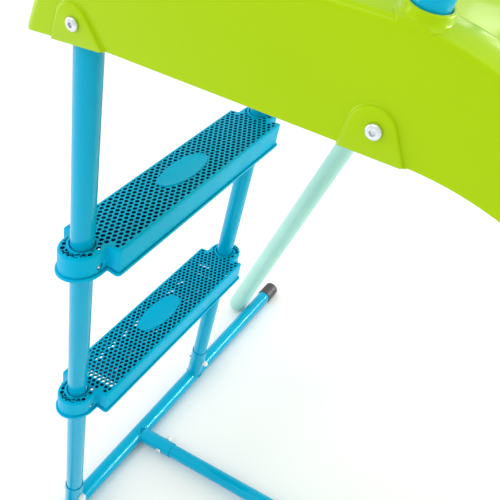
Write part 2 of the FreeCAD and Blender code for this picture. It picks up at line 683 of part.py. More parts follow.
# ---- stabiliser leg --------------------------------------------------------------------------
def stabiliser_leg():
    """Tapered moulded leg with a domed foot, skewed outwards from its pivot hub."""
    top = V(*LEG_TOP)
    foot = V(*LEG_FOOT)
    length = (foot - top).Length
    r = LEG_FOOT_D / 2
    half_turn = V(r * math.sqrt(0.5), 0, length + r * math.sqrt(0.5))
    edges = [Part.makeLine(V(0, 0, 0), V(LEG_TOP_D / 2, 0, 0))]
    for i in range(LEG_STRETCHES):
        ends = [V(LEG_TOP_D / 2, 0, 0).multiply(1 - t) + V(r, 0, length).multiply(t)
                for t in (i / LEG_STRETCHES, (i + 1) / LEG_STRETCHES)]
        edges.append(Part.makeLine(*ends))
    edges.append(Part.Arc(V(r, 0, length), half_turn, V(0, 0, length + r)).toShape())
    edges.append(Part.makeLine(V(0, 0, length + r), V(0, 0, 0)))
    leg = Part.Face(Part.Wire(edges)).revolve(V(0, 0, 0), V(0, 0, 1), 360)
    leg.Placement = FreeCAD.Placement(top, FreeCAD.Rotation(V(0, 0, 1), foot - top))
    inner_y = top.y - LEG_HUB_HALF
    outer_y = top.y + LEG_HUB_HALF
    hub = along_y(top.x, top.z, inner_y, outer_y, LEG_HUB_D)
    hub = hub.makeFillet(2.0, [e for e in hub.Edges if e.Curve.TypeId == "Part::GeomCircle"])
    leg = leg.fuse(hub)
    leg = leg.cut(Part.makeBox(200, 60, 200, V(top.x - 100, inner_y - 60, top.z - 100)))
    leg = leg.cut(along_y(top.x, top.z, outer_y, outer_y + 30, LEG_FACE_D))
    return leg.cut(along_y(top.x, top.z, inner_y - 1, outer_y + 1, LEG_BORE_D)).removeSplitter()


def leg_washer():
    """Spacer between the leg's hub and the slide's side."""
    y0 = RAIL_OUT + SEAT_GAP
    y1 = LEG_TOP[1] - LEG_HUB_HALF - PIVOT_GAP
    disc = along_y(LEG_TOP[0], LEG_TOP[2], y0, y1, 24.0)
    return disc.cut(along_y(LEG_TOP[0], LEG_TOP[2], y0 - 1, y1 + 1, BOLT_HOLE_D))


def leg_pivot():
    """Pivot bolt through the hub, the spacer and the rail, with its nut under the bed."""
    seat = V(LEG_TOP[0], LEG_TOP[1] + LEG_HUB_HALF + PIVOT_GAP, LEG_TOP[2])
    grip = seat.y - RAIL_IN + SEAT_GAP
    return cross_fastener(seat, V(0, -1, 0), grip)


# ---- write every node ------------------------------------------------------------------------
def nodes():
    rear_tube, front_tube = centre_tubes()
    deck = tread_deck()
    frame = tread_frame()
    rear_ear = rail_fasteners(post_x(REAR_BOLT_Z), REAR_BOLT_Z, EAR_PROUD)
    front_ear = rail_fasteners(FRONT_BOLT[0], FRONT_BOLT[1], EAR_PROUD)
    exit_pairs = rail_fasteners(FRONT_BAR_X, edge_z(FRONT_BAR_X) + EXIT_BOLT_RISE, 0.0)
    sockets = socket_fasteners()
    centre = centre_fasteners()
    pivot_bolt, pivot_nut = leg_pivot()
    found = {
        "slide_body": slide_body(),
        "upper_tread_deck": at_tread(deck, TREAD_TOPS[1]),
        "lower_tread_deck": at_tread(deck, TREAD_TOPS[0]),
        "upper_tread_frame": at_tread(frame, TREAD_TOPS[1]),
        "lower_tread_frame": at_tread(frame, TREAD_TOPS[0]),
        "tread_screws": tread_screws(),
        "handrail_plugs": handrail_plugs(),
        "rear_base_bar": rear_base_bar(),
        "front_base_bar": front_base_bar(),
        "centre_tube_rear": rear_tube,
        "centre_tube_front": front_tube,
        "socket_bolts": Part.Compound([p[0] for p in sockets]),
        "socket_nuts": Part.Compound([p[1] for p in sockets]),
        "centre_bolts": Part.Compound([p[0] for p in centre]),
        "centre_nuts": Part.Compound([p[1] for p in centre]),
        "rear_ear_bolts": Part.Compound([p[0] for p in rear_ear]),
        "rear_ear_nuts": Part.Compound([p[1] for p in rear_ear]),
        "front_ear_bolts": Part.Compound([p[0] for p in front_ear]),
        "front_ear_nuts": Part.Compound([p[1] for p in front_ear]),
        "exit_bolts": Part.Compound([p[0] for p in exit_pairs]),
        "exit_nuts": Part.Compound([p[1] for p in exit_pairs]),
        "stabiliser_leg": stabiliser_leg(),
        "leg_pivot_bolt": pivot_bolt,
        "leg_pivot_nut": pivot_nut,
        "leg_washer": leg_washer(),
    }
    for name, side in SIDES.items():
        found["post_" + name] = ladder_post(side)
        found["handrail_" + name] = handrail(side)
        found["rear_cap_" + name] = end_cap(0, REAR_BAR_HALF, side)
        found["front_cap_" + name] = end_cap(FRONT_BAR_X, FRONT_BAR_HALF, side)
    return found


os.makedirs("parts", exist_ok=True)
for name, shape in nodes().items():
    shape.translate(V(-FOOTPRINT_MID_X, 0, 0))
    if not shape.isValid():
        print("not valid:", name)
    shape.exportStep(os.path.join("parts", name + ".step"))
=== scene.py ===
"""Looks of the children's pool slide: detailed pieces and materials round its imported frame."""
import json
import math

import bmesh
import bpy
from mathutils import Matrix, Vector
from mathutils.geometry import delaunay_2d_cdt


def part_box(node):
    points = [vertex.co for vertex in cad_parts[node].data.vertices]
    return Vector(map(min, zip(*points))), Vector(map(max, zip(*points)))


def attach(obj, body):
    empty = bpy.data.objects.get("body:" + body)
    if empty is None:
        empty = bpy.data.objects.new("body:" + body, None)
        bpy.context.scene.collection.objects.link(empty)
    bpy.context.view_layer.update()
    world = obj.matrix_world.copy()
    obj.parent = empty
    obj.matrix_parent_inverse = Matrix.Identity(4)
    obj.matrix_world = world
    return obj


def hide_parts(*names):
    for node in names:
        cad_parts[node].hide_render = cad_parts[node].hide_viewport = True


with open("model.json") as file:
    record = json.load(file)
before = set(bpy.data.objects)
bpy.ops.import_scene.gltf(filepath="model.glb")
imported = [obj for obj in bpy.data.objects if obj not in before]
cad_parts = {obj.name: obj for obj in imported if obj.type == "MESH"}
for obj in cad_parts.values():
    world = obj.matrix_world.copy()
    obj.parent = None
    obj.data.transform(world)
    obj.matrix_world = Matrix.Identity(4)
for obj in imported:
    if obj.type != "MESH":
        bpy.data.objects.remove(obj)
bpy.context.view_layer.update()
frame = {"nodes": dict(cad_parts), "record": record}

# ---- materials -------------------------------------------------------------------------------


class Surface:
    """A node-based material under construction."""

    def __init__(self, name):
        self.material = bpy.data.materials.new(name)
        self.material.use_nodes = True
        self.nodes = self.material.node_tree.nodes
        self.links = self.material.node_tree.links
        self.shader = self.nodes["Principled BSDF"]
        self.place = self.nodes.new("ShaderNodeTexCoord").outputs["Object"]
        self.normal = None

    def set(self, **sockets):
        """Constants on the shader's own sockets."""
        for name, value in sockets.items():
            self.shader.inputs[name.replace("_", " ")].default_value = value

    def noise(self, scale, detail=2.0, stretch=(1, 1, 1)):
        """Noise with this many features per metre, stretched along some axes."""
        mapping = self.nodes.new("ShaderNodeMapping")
        mapping.inputs["Scale"].default_value = stretch
        self.links.new(self.place, mapping.inputs["Vector"])
        texture = self.nodes.new("ShaderNodeTexNoise")
        texture.inputs["Scale"].default_value = scale
        texture.inputs["Detail"].default_value = detail
        self.links.new(mapping.outputs["Vector"], texture.inputs["Vector"])
        return texture.outputs["Fac"]

    def ramp(self, value, stops):
        """Colour ramp of (place, colour) stops; a plain number stands for a grey."""
        node = self.nodes.new("ShaderNodeValToRGB")
        while len(node.color_ramp.elements) < len(stops):
            node.color_ramp.elements.new(0.5)
        for element, (place, colour) in zip(node.color_ramp.elements, stops):
            element.position = place
            rgb = (colour,) * 3 if isinstance(colour, (int, float)) else colour
            element.color = (*rgb, 1.0)
        self.links.new(value, node.inputs["Fac"])
        return node.outputs["Color"]

    def colour(self, value):
        self.links.new(value, self.shader.inputs["Base Color"])

    def roughness(self, value, low, high):
        self.links.new(self.ramp(value, [(0.3, low), (0.7, high)]), self.shader.inputs["Roughness"])

    def bump(self, value, depth, strength=1.0):
        """Relief of a depth in metres, on top of any earlier relief."""
        node = self.nodes.new("ShaderNodeBump")
        node.inputs["Distance"].default_value = depth
        node.inputs["Strength"].default_value = strength
        self.links.new(value, node.inputs["Height"])
        if self.normal is not None:
            self.links.new(self.normal, node.inputs["Normal"])
        self.normal = node.outputs["Normal"]
        self.links.new(self.normal, self.shader.inputs["Normal"])

    def moulded(self, tone_scale, tones, gloss_scale, gloss, grain_scale, depth, strength):
        """Two close tones, uneven roughness and a fine grain, each from a noise of its own."""
        self.colour(self.ramp(self.noise(tone_scale, 4), [(0.3, tones[0]), (0.7, tones[1])]))
        self.roughness(self.noise(gloss_scale, 3), *gloss)
        self.bump(self.noise(grain_scale, 2), depth, strength)


def slide_plastic():
    """Glossy moulded polyethylene with a faint orange peel."""
    s = Surface("lime_polyethylene")
    s.colour(s.ramp(s.noise(7, 4), [(0.3, (0.345, 0.545, 0.0)), (0.7, (0.360, 0.565, 0.0))]))
    s.roughness(s.noise(30, 3), 0.16, 0.25)
    s.bump(s.noise(14, 1), 0.0006, 0.35)
    s.bump(s.noise(420, 2), 0.00006, 0.5)
    s.set(IOR=1.5, Specular_IOR_Level=0.3, Specular_Tint=(0.75, 1.0, 0.1, 1.0), Coat_Weight=0.14,
          Coat_Roughness=0.05)
    return s.material


def tread_plastic():
    """Satin blue plastic of the treads."""
    s = Surface("blue_tread_plastic")
    s.moulded(18, ((0.0, 0.385, 0.62), (0.0, 0.42, 0.67)), 60, (0.30, 0.42), 900, 0.00005, 0.5)
    s.set(IOR=1.5, Specular_IOR_Level=0.1, Specular_Tint=(0.0, 0.7, 1.0, 1.0))
    return s.material


def rib_painted_shade_plastic():
    """Ribs and holes' walls of the treads: blue plastic darkened with painted shade, darker than the
    decks as they lie in shade.
    """
    s = Surface("blue_rib_painted_shade")
    # Deep navy tones are painted shade on the treads' blue plastic.
    s.moulded(18, ((0.0, 0.035, 0.10), (0.0, 0.045, 0.12)), 60, (0.45, 0.6), 900, 0.00005, 0.5)
    s.set(IOR=1.5, Specular_IOR_Level=0.15)
    return s.material


def tube_paint():
    """Glossy blue powder coat on the steel tubes."""
    s = Surface("blue_powder_coat")
    s.moulded(12, ((0.0, 0.355, 0.575), (0.0, 0.385, 0.61)), 50, (0.16, 0.26), 650, 0.00007, 0.4)
    s.set(IOR=1.52, Specular_IOR_Level=0.25, Specular_Tint=(0.0, 0.7, 1.0, 1.0), Coat_Weight=0.22,
          Coat_Roughness=0.04)
    return s.material


def leg_plastic():
    """Satin mint plastic of the leg."""
    s = Surface("mint_plastic")
    s.moulded(16, ((0.385, 0.705, 0.615), (0.415, 0.745, 0.655)), 60, (0.34, 0.46), 800, 0.00005, 0.5)
    s.set(IOR=1.48)
    return s.material


def cap_plastic():
    """Matt black plastic of the floor bars' caps."""
    s = Surface("black_cap_plastic")
    s.moulded(80, (0.030, 0.046), 90, (0.38, 0.55), 1500, 0.00006, 0.6)
    return s.material


def zinc_steel():
    """Bright zinc plating on the bolts."""
    s = Surface("bright_zinc")
    s.moulded(240, ((0.62, 0.66, 0.70), (0.78, 0.81, 0.84)), 500, (0.16, 0.32), 1500, 0.00003, 0.5)
    s.set(Metallic=1.0)
    return s.material


def nut_plastic():
    """Pale covers of the nuts."""
    s = Surface("pale_nut_cover")
    s.moulded(160, ((0.66, 0.69, 0.67), (0.80, 0.83, 0.81)), 300, (0.22, 0.38), 1200, 0.00004, 0.5)
    return s.material


SLOT_MATERIALS = {
    "lime_plastic": slide_plastic(),
    "tread_plastic": tread_plastic(),
    "blue_paint": tube_paint(),
    "mint_plastic": leg_plastic(),
    "cap_plastic": cap_plastic(),
    "zinc_steel": zinc_steel(),
    "nut_cap": nut_plastic(),
}

# Blue plastic darkened with painted shade, for the treads' ribs, holes' walls and deck undersides.
RIB_PAINTED_SHADE_MATERIAL = rib_painted_shade_plastic()

for part in frame["record"]["subparts"]:
    node = frame["nodes"][part["node"]]
    node.data.materials.clear()
    node.data.materials.append(SLOT_MATERIALS[part["material_slot"]])

# ---- layout ----------------------------------------------------------------------------------
# Pieces are laid out in millimetres from the ground under the middle of the rear base bar.
MM = 0.001
BAR_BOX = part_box("rear_cap_near")
BASE_X = (BAR_BOX[0].x + BAR_BOX[1].x) / 2
BAR_AXIS_Z = 15.0
LEAN = math.radians(14.7)               # of the ladder, towards the slide
TAN = math.tan(LEAN)
UP = Vector((math.sin(LEAN), 0, math.cos(LEAN)))          # along the posts
ACROSS = Vector((math.cos(LEAN), 0, -math.sin(LEAN)))     # square to the posts, towards the slide
POST_Y = 172.1
SIDES = {"near": -1, "far": 1}
TUBE_D = 25.4
TUBE_WALL = 1.5


def post_point(side, z):
    """Point on a post's axis at a height."""
    return Vector(((z - BAR_AXIS_Z) * TAN, side * POST_Y, z))


# ---- mesh making -----------------------------------------------------------------------------
class Shape:
    """Vertices and faces of one piece, gathered in layout millimetres."""

    def __init__(self):
        self.points = []
        self.faces = []

    def add(self, points, faces):
        start = len(self.points)
        self.points += [Vector(p) for p in points]
        self.faces += [tuple(i + start for i in face) for face in faces]

    def loft(self, rings, wrap=False, caps=True, closed=True):
        """Skin over rings of points; wrap joins the last ring to the first."""
        n = len(rings[0])
        faces = []
        last = len(rings) if wrap else len(rings) - 1
        for i in range(last):
            a, b = i * n, (i + 1) % len(rings) * n
            for j in range(n if closed else n - 1):
                k = (j + 1) % n
                faces.append((a + j, a + k, b + k, b + j))
        if caps and not wrap:
            faces.append(tuple(reversed(range(n))))
            faces.append(tuple((len(rings) - 1) * n + j for j in range(n)))
        self.add([p for ring in rings for p in ring], faces)

    def lathe(self, start, axis, profile, count=48, wrap=False):
        """Turned solid from (radius, distance along the axis) pairs."""
        u, v = square_axes(axis)
        axis = Vector(axis).normalized()
        rings = []
        for radius, along in profile:
            centre = Vector(start) + axis * along
            rings.append([centre + (u * math.cos(t) + v * math.sin(t)) * max(radius, 0.01)
                          for t in turn(count)])
        self.loft(rings, wrap=wrap)


def turn(count, start=0.0, angle=2 * math.pi):
    """Angles of evenly spaced steps round a circle."""
    return [start + angle * i / count for i in range(count)]


def square_axes(axis):
    """Two unit vectors square to an axis and to each other."""
    axis = Vector(axis).normalized()
    side = Vector((0, 1, 0)) if abs(axis.y) < 0.9 else Vector((1, 0, 0))
    u = (side - axis * side.dot(axis)).normalized()
    return u, axis.cross(u)


def quarter(radius, steps, start, end):
    """(cos, sin) offsets along a rounded edge, angles in degrees."""
    angles = [math.radians(start + (end - start) * i / steps) for i in range(steps + 1)]
    return [(radius * math.cos(a), radius * math.sin(a)) for a in angles]


def hollow_tube(shape, path, d, wall, count=48, rim=0.4):
    """Tube with rounded rims along a path of points."""
    points = [Vector(p) for p in path]
    rings = []

    def ring(i, radius, slide):
        before = points[max(i - 1, 0)]
        after = points[min(i + 1, len(points) - 1)]
        axis = (after - before).normalized()
        u, v = square_axes(axis)
        centre = points[i] + axis * slide
        return [centre + (u * math.cos(t) + v * math.sin(t)) * radius for t in turn(count)]

    last = len(points) - 1
    outer, inner = d / 2, d / 2 - wall
    rings.append(ring(0, outer - rim, 0))
    rings += [ring(i, outer, rim if i == 0 else -rim if i == last else 0) for i in range(last + 1)]
    rings.append(ring(last, outer - rim, 0))
    rings.append(ring(last, inner + rim, 0))
    rings += [ring(i, inner, rim if i == 0 else -rim if i == last else 0) for i in range(last, -1, -1)]
    rings.append(ring(0, inner + rim, 0))
    shape.loft(rings, wrap=True)


def piece(name, shape, slot, nodes=(), body="frame", sharp=32, material=None):
    """Object from a shape, riding on a body and standing for CAD nodes."""
    mesh = bpy.data.meshes.new(name)
    points = [(p.x * MM + BASE_X, p.y * MM, p.z * MM) for p in shape.points]
    mesh.from_pydata(points, [], shape.faces)
    tidy = bmesh.new()
    tidy.from_mesh(mesh)
    bmesh.ops.remove_doubles(tidy, verts=tidy.verts, dist=1e-6)
    bmesh.ops.recalc_face_normals(tidy, faces=tidy.faces)
    tidy.to_mesh(mesh)
    tidy.free()
    mesh.shade_smooth()
    mesh.set_sharp_from_angle(angle=math.radians(sharp))
    mesh.materials.append(material or SLOT_MATERIALS[slot])
    found = bpy.data.objects.new(name, mesh)
    bpy.context.scene.collection.objects.link(found)
    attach(found, body)
    if nodes:
        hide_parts(*nodes)
    return found


def applied(found, *modifiers):
    """Applies (type, settings) modifiers to a piece's mesh."""
    for kind, settings in modifiers:
        modifier = found.modifiers.new(kind, kind)
        for key, value in settings.items():
            setattr(modifier, key, value)
    view = bpy.context.evaluated_depsgraph_get()
    mesh = bpy.data.meshes.new_from_object(found.evaluated_get(view))
    found.modifiers.clear()
    found.data = mesh
    return found


# ---- treads ----------------------------------------------------------------------------------
TREAD_TOPS = {"lower": 364.5, "upper": 633.5}
TREAD_HALF = 161.3
TREAD_BACK = 39.0
TREAD_FRONT = 41.6
COLLAR_R = 26.0
CORNER_R = 2.6
EDGE_R = 2.6                 # rounded top edge
SKIRT_DEPTH = 29.0
SEAM_DEPTH = 28.2            # dark line above the bottom lip
LIP = 4.0
LIP_OUT = 2.6
SKIRT_WALL = 2.6
DECK_THICK = 3.0
HOLE_R = 2.6
HOLE_PITCH = 7.2
HOLE_ROW = HOLE_PITCH * math.sqrt(3) / 2
HOLE_CENTRE_X = 0.6
HOLE_SIDES = 14
FIELD_INSET = 4.0
COLLAR_INSET = 2.9
FRONT_DROP = 3.4             # extra depth of the skirt along the front
PAD = (18.5, 42.5)
PAD_RISE = 1.2
RING_IN = 13.9
RING_OUT = 15.5
RING_RISE = 1.6
POCKET_Z = -21.0
POCKET_R = 4.2
POCKET_DEPTH = 5.5
SCREW_OUT = 1.6              # how far the screw heads stand off the pockets' floors
CORNER_CLEAR = 5.4           # holes keep this far from the outline's inner corners
HOLE_MIN_AREA = 4.0          # trimmed holes smaller than this are left out
CROSS_RIBS = 12
CROSS_RIB_PITCH = 26.9
CROSS_RIB_DEPTH = 17.0
LONG_RIB_X = (-12.0, 4.0, 20.0, 31.0)
LONG_RIB_HALF = 118.0
RIB_THICK = 2.0


def rounded_corner(x, y, radius, start, steps=5):
    """Points round a corner whose circle's centre is x, y; start is its first angle in degrees."""
    return [(x + a, y + b) for a, b in quarter(radius, steps, start, start + 90)]


def tread_outline(grow=0.0):
    """Outline about the posts' axes, anticlockwise, grown outwards; always as many points."""
    front, back = TREAD_FRONT + grow, -TREAD_BACK - grow
    half, collar = TREAD_HALF + grow, COLLAR_R + grow
    r = max(CORNER_R + grow, 0.15)
    inner = max(CORNER_R * 0.5 - grow, 0.15)
    points = rounded_corner(front - r, half - r, r, 0)
    points += reversed([(collar + inner - a, half + inner - b) for a, b in quarter(inner, 4, 0, 90)])
    points += [(a, POST_Y + b) for a, b in quarter(collar, 24, 0, 180)]
    points += reversed([(-collar - inner + b, half + inner - a) for a, b in quarter(inner, 4, 0, 90)])
    points += rounded_corner(back + r, half - r, r, 90)
    points += rounded_corner(back + r, r - half, r, 180)
    points += reversed([(-collar - inner + a, -half - inner + b) for a, b in quarter(inner, 4, 0, 90)])
    points += [(a, -POST_Y + b) for a, b in quarter(collar, 24, 180, 360)]
    points += reversed([(collar + inner - b, -half - inner + a) for a, b in quarter(inner, 4, 0, 90)])
    points += rounded_corner(front - r, r - half, r, 270)
    return points


def tread_ring(grow, z, top):
    """Outline at a height below or above the tread's top, on the leaning axes."""
    shift = (top + z - BAR_AXIS_Z) * TAN
    deep = min(max(-z / SKIRT_DEPTH, 0.0), 1.0) * FRONT_DROP
    ring = []
    for x, y in tread_outline(grow):
        drop = deep * min(max((x - COLLAR_R) / (TREAD_FRONT - COLLAR_R), 0.0), 1.0)
        ring.append(Vector((x + shift, y, top + z - drop)))
    return ring


def clipped(polygon, normal, limit):
    """Part of a convex polygon on the inner side of a line."""
    kept = []
    for i, p in enumerate(polygon):
        q = polygon[(i + 1) % len(polygon)]
        dp = p[0] * normal[0] + p[1] * normal[1] - limit
        dq = q[0] * normal[0] + q[1] * normal[1] - limit
        if dp <= 0:
            kept.append(p)
        if dp * dq < 0:
            t = dp / (dp - dq)
            kept.append((p[0] + (q[0] - p[0]) * t, p[1] + (q[1] - p[1]) * t))
    return kept


def field_lines(x, y):
    """Lines that bound the holes' field near a point, as (outward normal, limit)."""
    lines = []
    end = POST_Y * (1 if y > 0 else -1)
    out = Vector((x, y - end))
    if abs(y) > TREAD_HALF - FIELD_INSET - HOLE_R and abs(x) < COLLAR_R:
        if abs(y) > POST_Y:
            n = out.normalized()
            lines.append((n, n.y * end + COLLAR_R - COLLAR_INSET))
        elif abs(y) > TREAD_HALF - FIELD_INSET:
            lines.append(((math.copysign(1, x), 0), COLLAR_R - COLLAR_INSET))
    else:
        lines.append(((1, 0), TREAD_FRONT - FIELD_INSET))
        lines.append(((-1, 0), TREAD_BACK - FIELD_INSET))
        lines.append(((0, math.copysign(1, y)), TREAD_HALF - FIELD_INSET))
    if out.length < 40:
        n = -out.normalized()
        lines.append((n, n.y * end - RING_OUT - 0.5))
    px, py = (x - HOLE_CENTRE_X) / PAD[0], y / PAD[1]
    reach = math.hypot(px, py)
    if 0.6 < reach < 1.6:
        rim = Vector((HOLE_CENTRE_X + px / reach * PAD[0], py / reach * PAD[1]))
        n = -Vector((px / PAD[0], py / PAD[1])).normalized()
        lines.append((n, n.dot(rim) - 0.6))
    elif reach <= 0.6:
        lines.append(((1, 0), -1000))
    return lines


def area(polygon):
    """Area of a polygon, positive when it runs anticlockwise."""
    total = 0.0
    for i, p in enumerate(polygon):
        q = polygon[(i + 1) % len(polygon)]
        total += p[0] * q[1] - q[0] * p[1]
    return total / 2


def deck_holes():
    """Staggered round holes, trimmed where they meet the edge of their field."""
    holes = []
    inner = CORNER_R / 2
    rows = int((POST_Y + COLLAR_R) / HOLE_ROW) + 1
    for row in range(-rows, rows + 1):
        for column in range(-6, 7):
            x = HOLE_CENTRE_X + column * HOLE_PITCH + (HOLE_PITCH / 2 if row % 2 else 0)
            y = row * HOLE_ROW
            hole = [(x + HOLE_R * math.cos(t), y + HOLE_R * math.sin(t)) for t in turn(HOLE_SIDES)]
            for normal, limit in field_lines(x, y):
                hole = clipped(hole, normal, limit)
            clear = all(math.hypot(abs(a) - COLLAR_R - inner, abs(b) - TREAD_HALF - inner) > CORNER_CLEAR
                        for a, b in hole)
            if len(hole) > 3 and area(hole) > HOLE_MIN_AREA and clear:
                holes.append(hole)
    return holes


def plate(outline, holes, thickness, rim=0.25):
    """Points and faces of a flat plate with softened holes; its top is at z = 0."""
    loops = [outline]
    for hole in holes:
        middle = sum((Vector(p) for p in hole), Vector((0, 0))) / len(hole)
        loops.append([Vector(p) + (Vector(p) - middle).normalized() * rim for p in hole])
    flat, edges, owner = [], [], []
    for k, loop in enumerate(loops):
        start = len(flat)
        flat += [Vector(p) for p in loop]
        owner += [k] * len(loop)
        edges += [(start + i, start + (i + 1) % len(loop)) for i in range(len(loop))]
    found, _, triangles, source, _, _ = delaunay_2d_cdt(flat, edges, [], 1, 1e-4)
    owners = [{owner[i] for i in ids} for ids in source]
    web = []
    for triangle in triangles:
        inside_hole = set.intersection(*(owners[i] for i in triangle)) - {0}
        if not inside_hole:
            web.append(triangle)
    count = len(found)
    points = [Vector((*p, 0)) for p in found] + [Vector((*p, -thickness)) for p in found]
    faces = [tuple(t) for t in web] + [tuple(i + count for i in reversed(t)) for t in web]
    place = {}
    for i, ids in enumerate(source):
        for k in ids:
            place[k] = i
    for k, (hole, start) in enumerate(zip([outline] + holes, loop_starts(loops))):
        n = len(hole)
        base = len(points)
        for z in ((-rim, rim - thickness) if k else (-thickness / 2,)):
            points += [Vector((*p, z)) for p in hole]
        levels = [[place[start + i] for i in range(n)]]
        levels += [[base + r * n + i for i in range(n)] for r in range((len(points) - base) // n)]
        levels.append([place[start + i] + count for i in range(n)])
        for low, high in zip(levels, levels[1:]):
            faces += [(low[i], low[(i + 1) % n], high[(i + 1) % n], high[i]) for i in range(n)]
    return points, faces


def loop_starts(loops):
    """Index of each loop's first point when the loops are laid end to end."""
    return [sum(len(loop) for loop in loops[:k]) for k in range(len(loops))]


def rib(shape, low, high, top):
    """Thin rib between two opposite corners, leaning with the tread."""
    rings = []
    for z in (low[2], high[2]):
        shift = (top + z - BAR_AXIS_Z) * TAN
        corners = ((low[0], low[1]), (high[0], low[1]), (high[0], high[1]), (low[0], high[1]))
        rings.append([Vector((x + shift, y, top + z)) for x, y in corners])
    shape.loft(rings)


def tread_skirt(name, top):
    """Side walls down to the seam, with a round pocket for a screw in each collar."""
    skirt = Shape()
    rings = [tread_ring(b - EDGE_R, a - EDGE_R, top) for a, b in quarter(EDGE_R, 6, 0, 90)]
    rings += [tread_ring(0, -SKIRT_DEPTH * i / 4, top) for i in range(1, 4)]
    rings += [tread_ring(0, -SEAM_DEPTH, top), tread_ring(-0.4, -SEAM_DEPTH - 0.3, top)]
    rings += [tread_ring(-SKIRT_WALL, -SEAM_DEPTH - 0.3, top), tread_ring(-SKIRT_WALL, -DECK_THICK, top)]
    rings += [tread_ring(-EDGE_R, -DECK_THICK, top)]
    skirt.loft(rings, wrap=True)
    wall = piece(name + "_skirt", skirt, "tread_plastic", [name])
    pockets = Shape()
    for side in SIDES.values():
        middle = post_point(side, top + POCKET_Z)
        pocket = [(POCKET_R, COLLAR_R - POCKET_DEPTH), (POCKET_R, COLLAR_R + 3)]
        pockets.lathe(middle, (1, 0, 0), pocket, 32)
    cutter = piece("cutter", pockets, "tread_plastic")
    applied(wall, ("BOOLEAN", {"object": cutter, "operation": "DIFFERENCE", "solver": "EXACT"}))
    bpy.data.objects.remove(cutter)


def tread_plate(name, top, shift):
    """Perforated top, with a gap for each post; its holes' walls and underside get the ribs' painted
    shade.
    """
    gap = quarter(RING_IN + 0.4, 47, 0, 352.5)
    post_gaps = [[(a, b + side * POST_Y) for a, b in gap] for side in (-1, 1)]
    points, faces = plate(tread_outline(-EDGE_R), deck_holes() + post_gaps, DECK_THICK)
    web = Shape()
    web.add([p + shift for p in points], faces)
    perforated = piece(name + "_plate", web, "tread_plastic", [name])
    perforated.data.materials.append(RIB_PAINTED_SHADE_MATERIAL)
    # Faces below the top, the holes' walls and the underside, get the painted shade material.
    for polygon in perforated.data.polygons:
        polygon.material_index = int(polygon.center.z < (top - 0.5) * MM)


def oval_pad(shape, shift):
    """Plain raised oval in the middle of a deck."""
    profile = [(0.2, -1.0), (0.2, 0.5), (-0.2, 1.0), (-0.8, PAD_RISE), (-1.4, 1.0), (-2.0, 0.85)]
    profile.append((-17, 0.95))
    rings = []
    for grow, z in profile:
        half_x, half_y = PAD[0] + grow, PAD[1] + grow
        rings.append([Vector((HOLE_CENTRE_X + half_x * math.cos(t), half_y * math.sin(t), z)) + shift
                      for t in turn(72)])
    shape.loft(rings)


def post_ring(shape, side, top):
    """Raised ring round a post, its fillet, and the wall of the screw pocket beside it."""
    foot = post_point(side, top)
    edge = quarter(0.9, 4, 0, 90)
    profile = [(RING_OUT - 0.9 + a, RING_RISE - 0.9 + b) for a, b in edge]
    profile += [(RING_IN + 0.5 - b * 0.5, RING_RISE - 0.5 + a * 0.5) for a, b in edge]
    profile += [(RING_IN, -SKIRT_DEPTH + 1.5), (RING_OUT, -SKIRT_DEPTH + 1.5), (RING_OUT, 0.4)]
    shape.lathe(foot, UP, profile, 64, wrap=True)
    fillet = [(RING_OUT - 0.3, 1.3), (RING_OUT + 0.25, 0.5), (RING_OUT + 1.1, 0.06)]
    fillet += [(RING_OUT + 1.2, -0.8), (RING_OUT - 0.3, -0.8)]
    shape.lathe(foot, UP, fillet, 64, wrap=True)
    seat = post_point(side, top + POCKET_Z)
    wall_r, wall_end = POCKET_R + 1.8, COLLAR_R - POCKET_DEPTH - 0.4
    wall = [(wall_r, RING_OUT - 3), (wall_r, wall_end), (2.0, wall_end), (2.0, RING_OUT - 3)]
    shape.lathe(seat, (1, 0, 0), wall, 32, wrap=True)


def tread_deck(name, top):
    """Perforated deck with skirts, collars, post rings, screw pockets and a plain oval pad."""
    shift = Vector(((top - BAR_AXIS_Z) * TAN, 0, top))
    tread_skirt(name, top)
    tread_plate(name, top, shift)
    rings = Shape()
    oval_pad(rings, shift)
    for side in SIDES.values():
        post_ring(rings, side, top)
    ribs = Shape()
    x0, x1 = -TREAD_BACK + 1.6, TREAD_FRONT - 1.6
    for i in range(CROSS_RIBS):
        y = (i - (CROSS_RIBS - 1) / 2) * CROSS_RIB_PITCH
        corner = (x0, y - RIB_THICK / 2, -CROSS_RIB_DEPTH)
        rib(ribs, corner, (x1, y + RIB_THICK / 2, -DECK_THICK + 0.3), top)
    piece(name + "_rings", rings, "tread_plastic", [name])
    # The cross ribs get the blue plastic with painted shade.
    piece(name + "_ribs", ribs, "tread_plastic", [name], material=RIB_PAINTED_SHADE_MATERIAL)


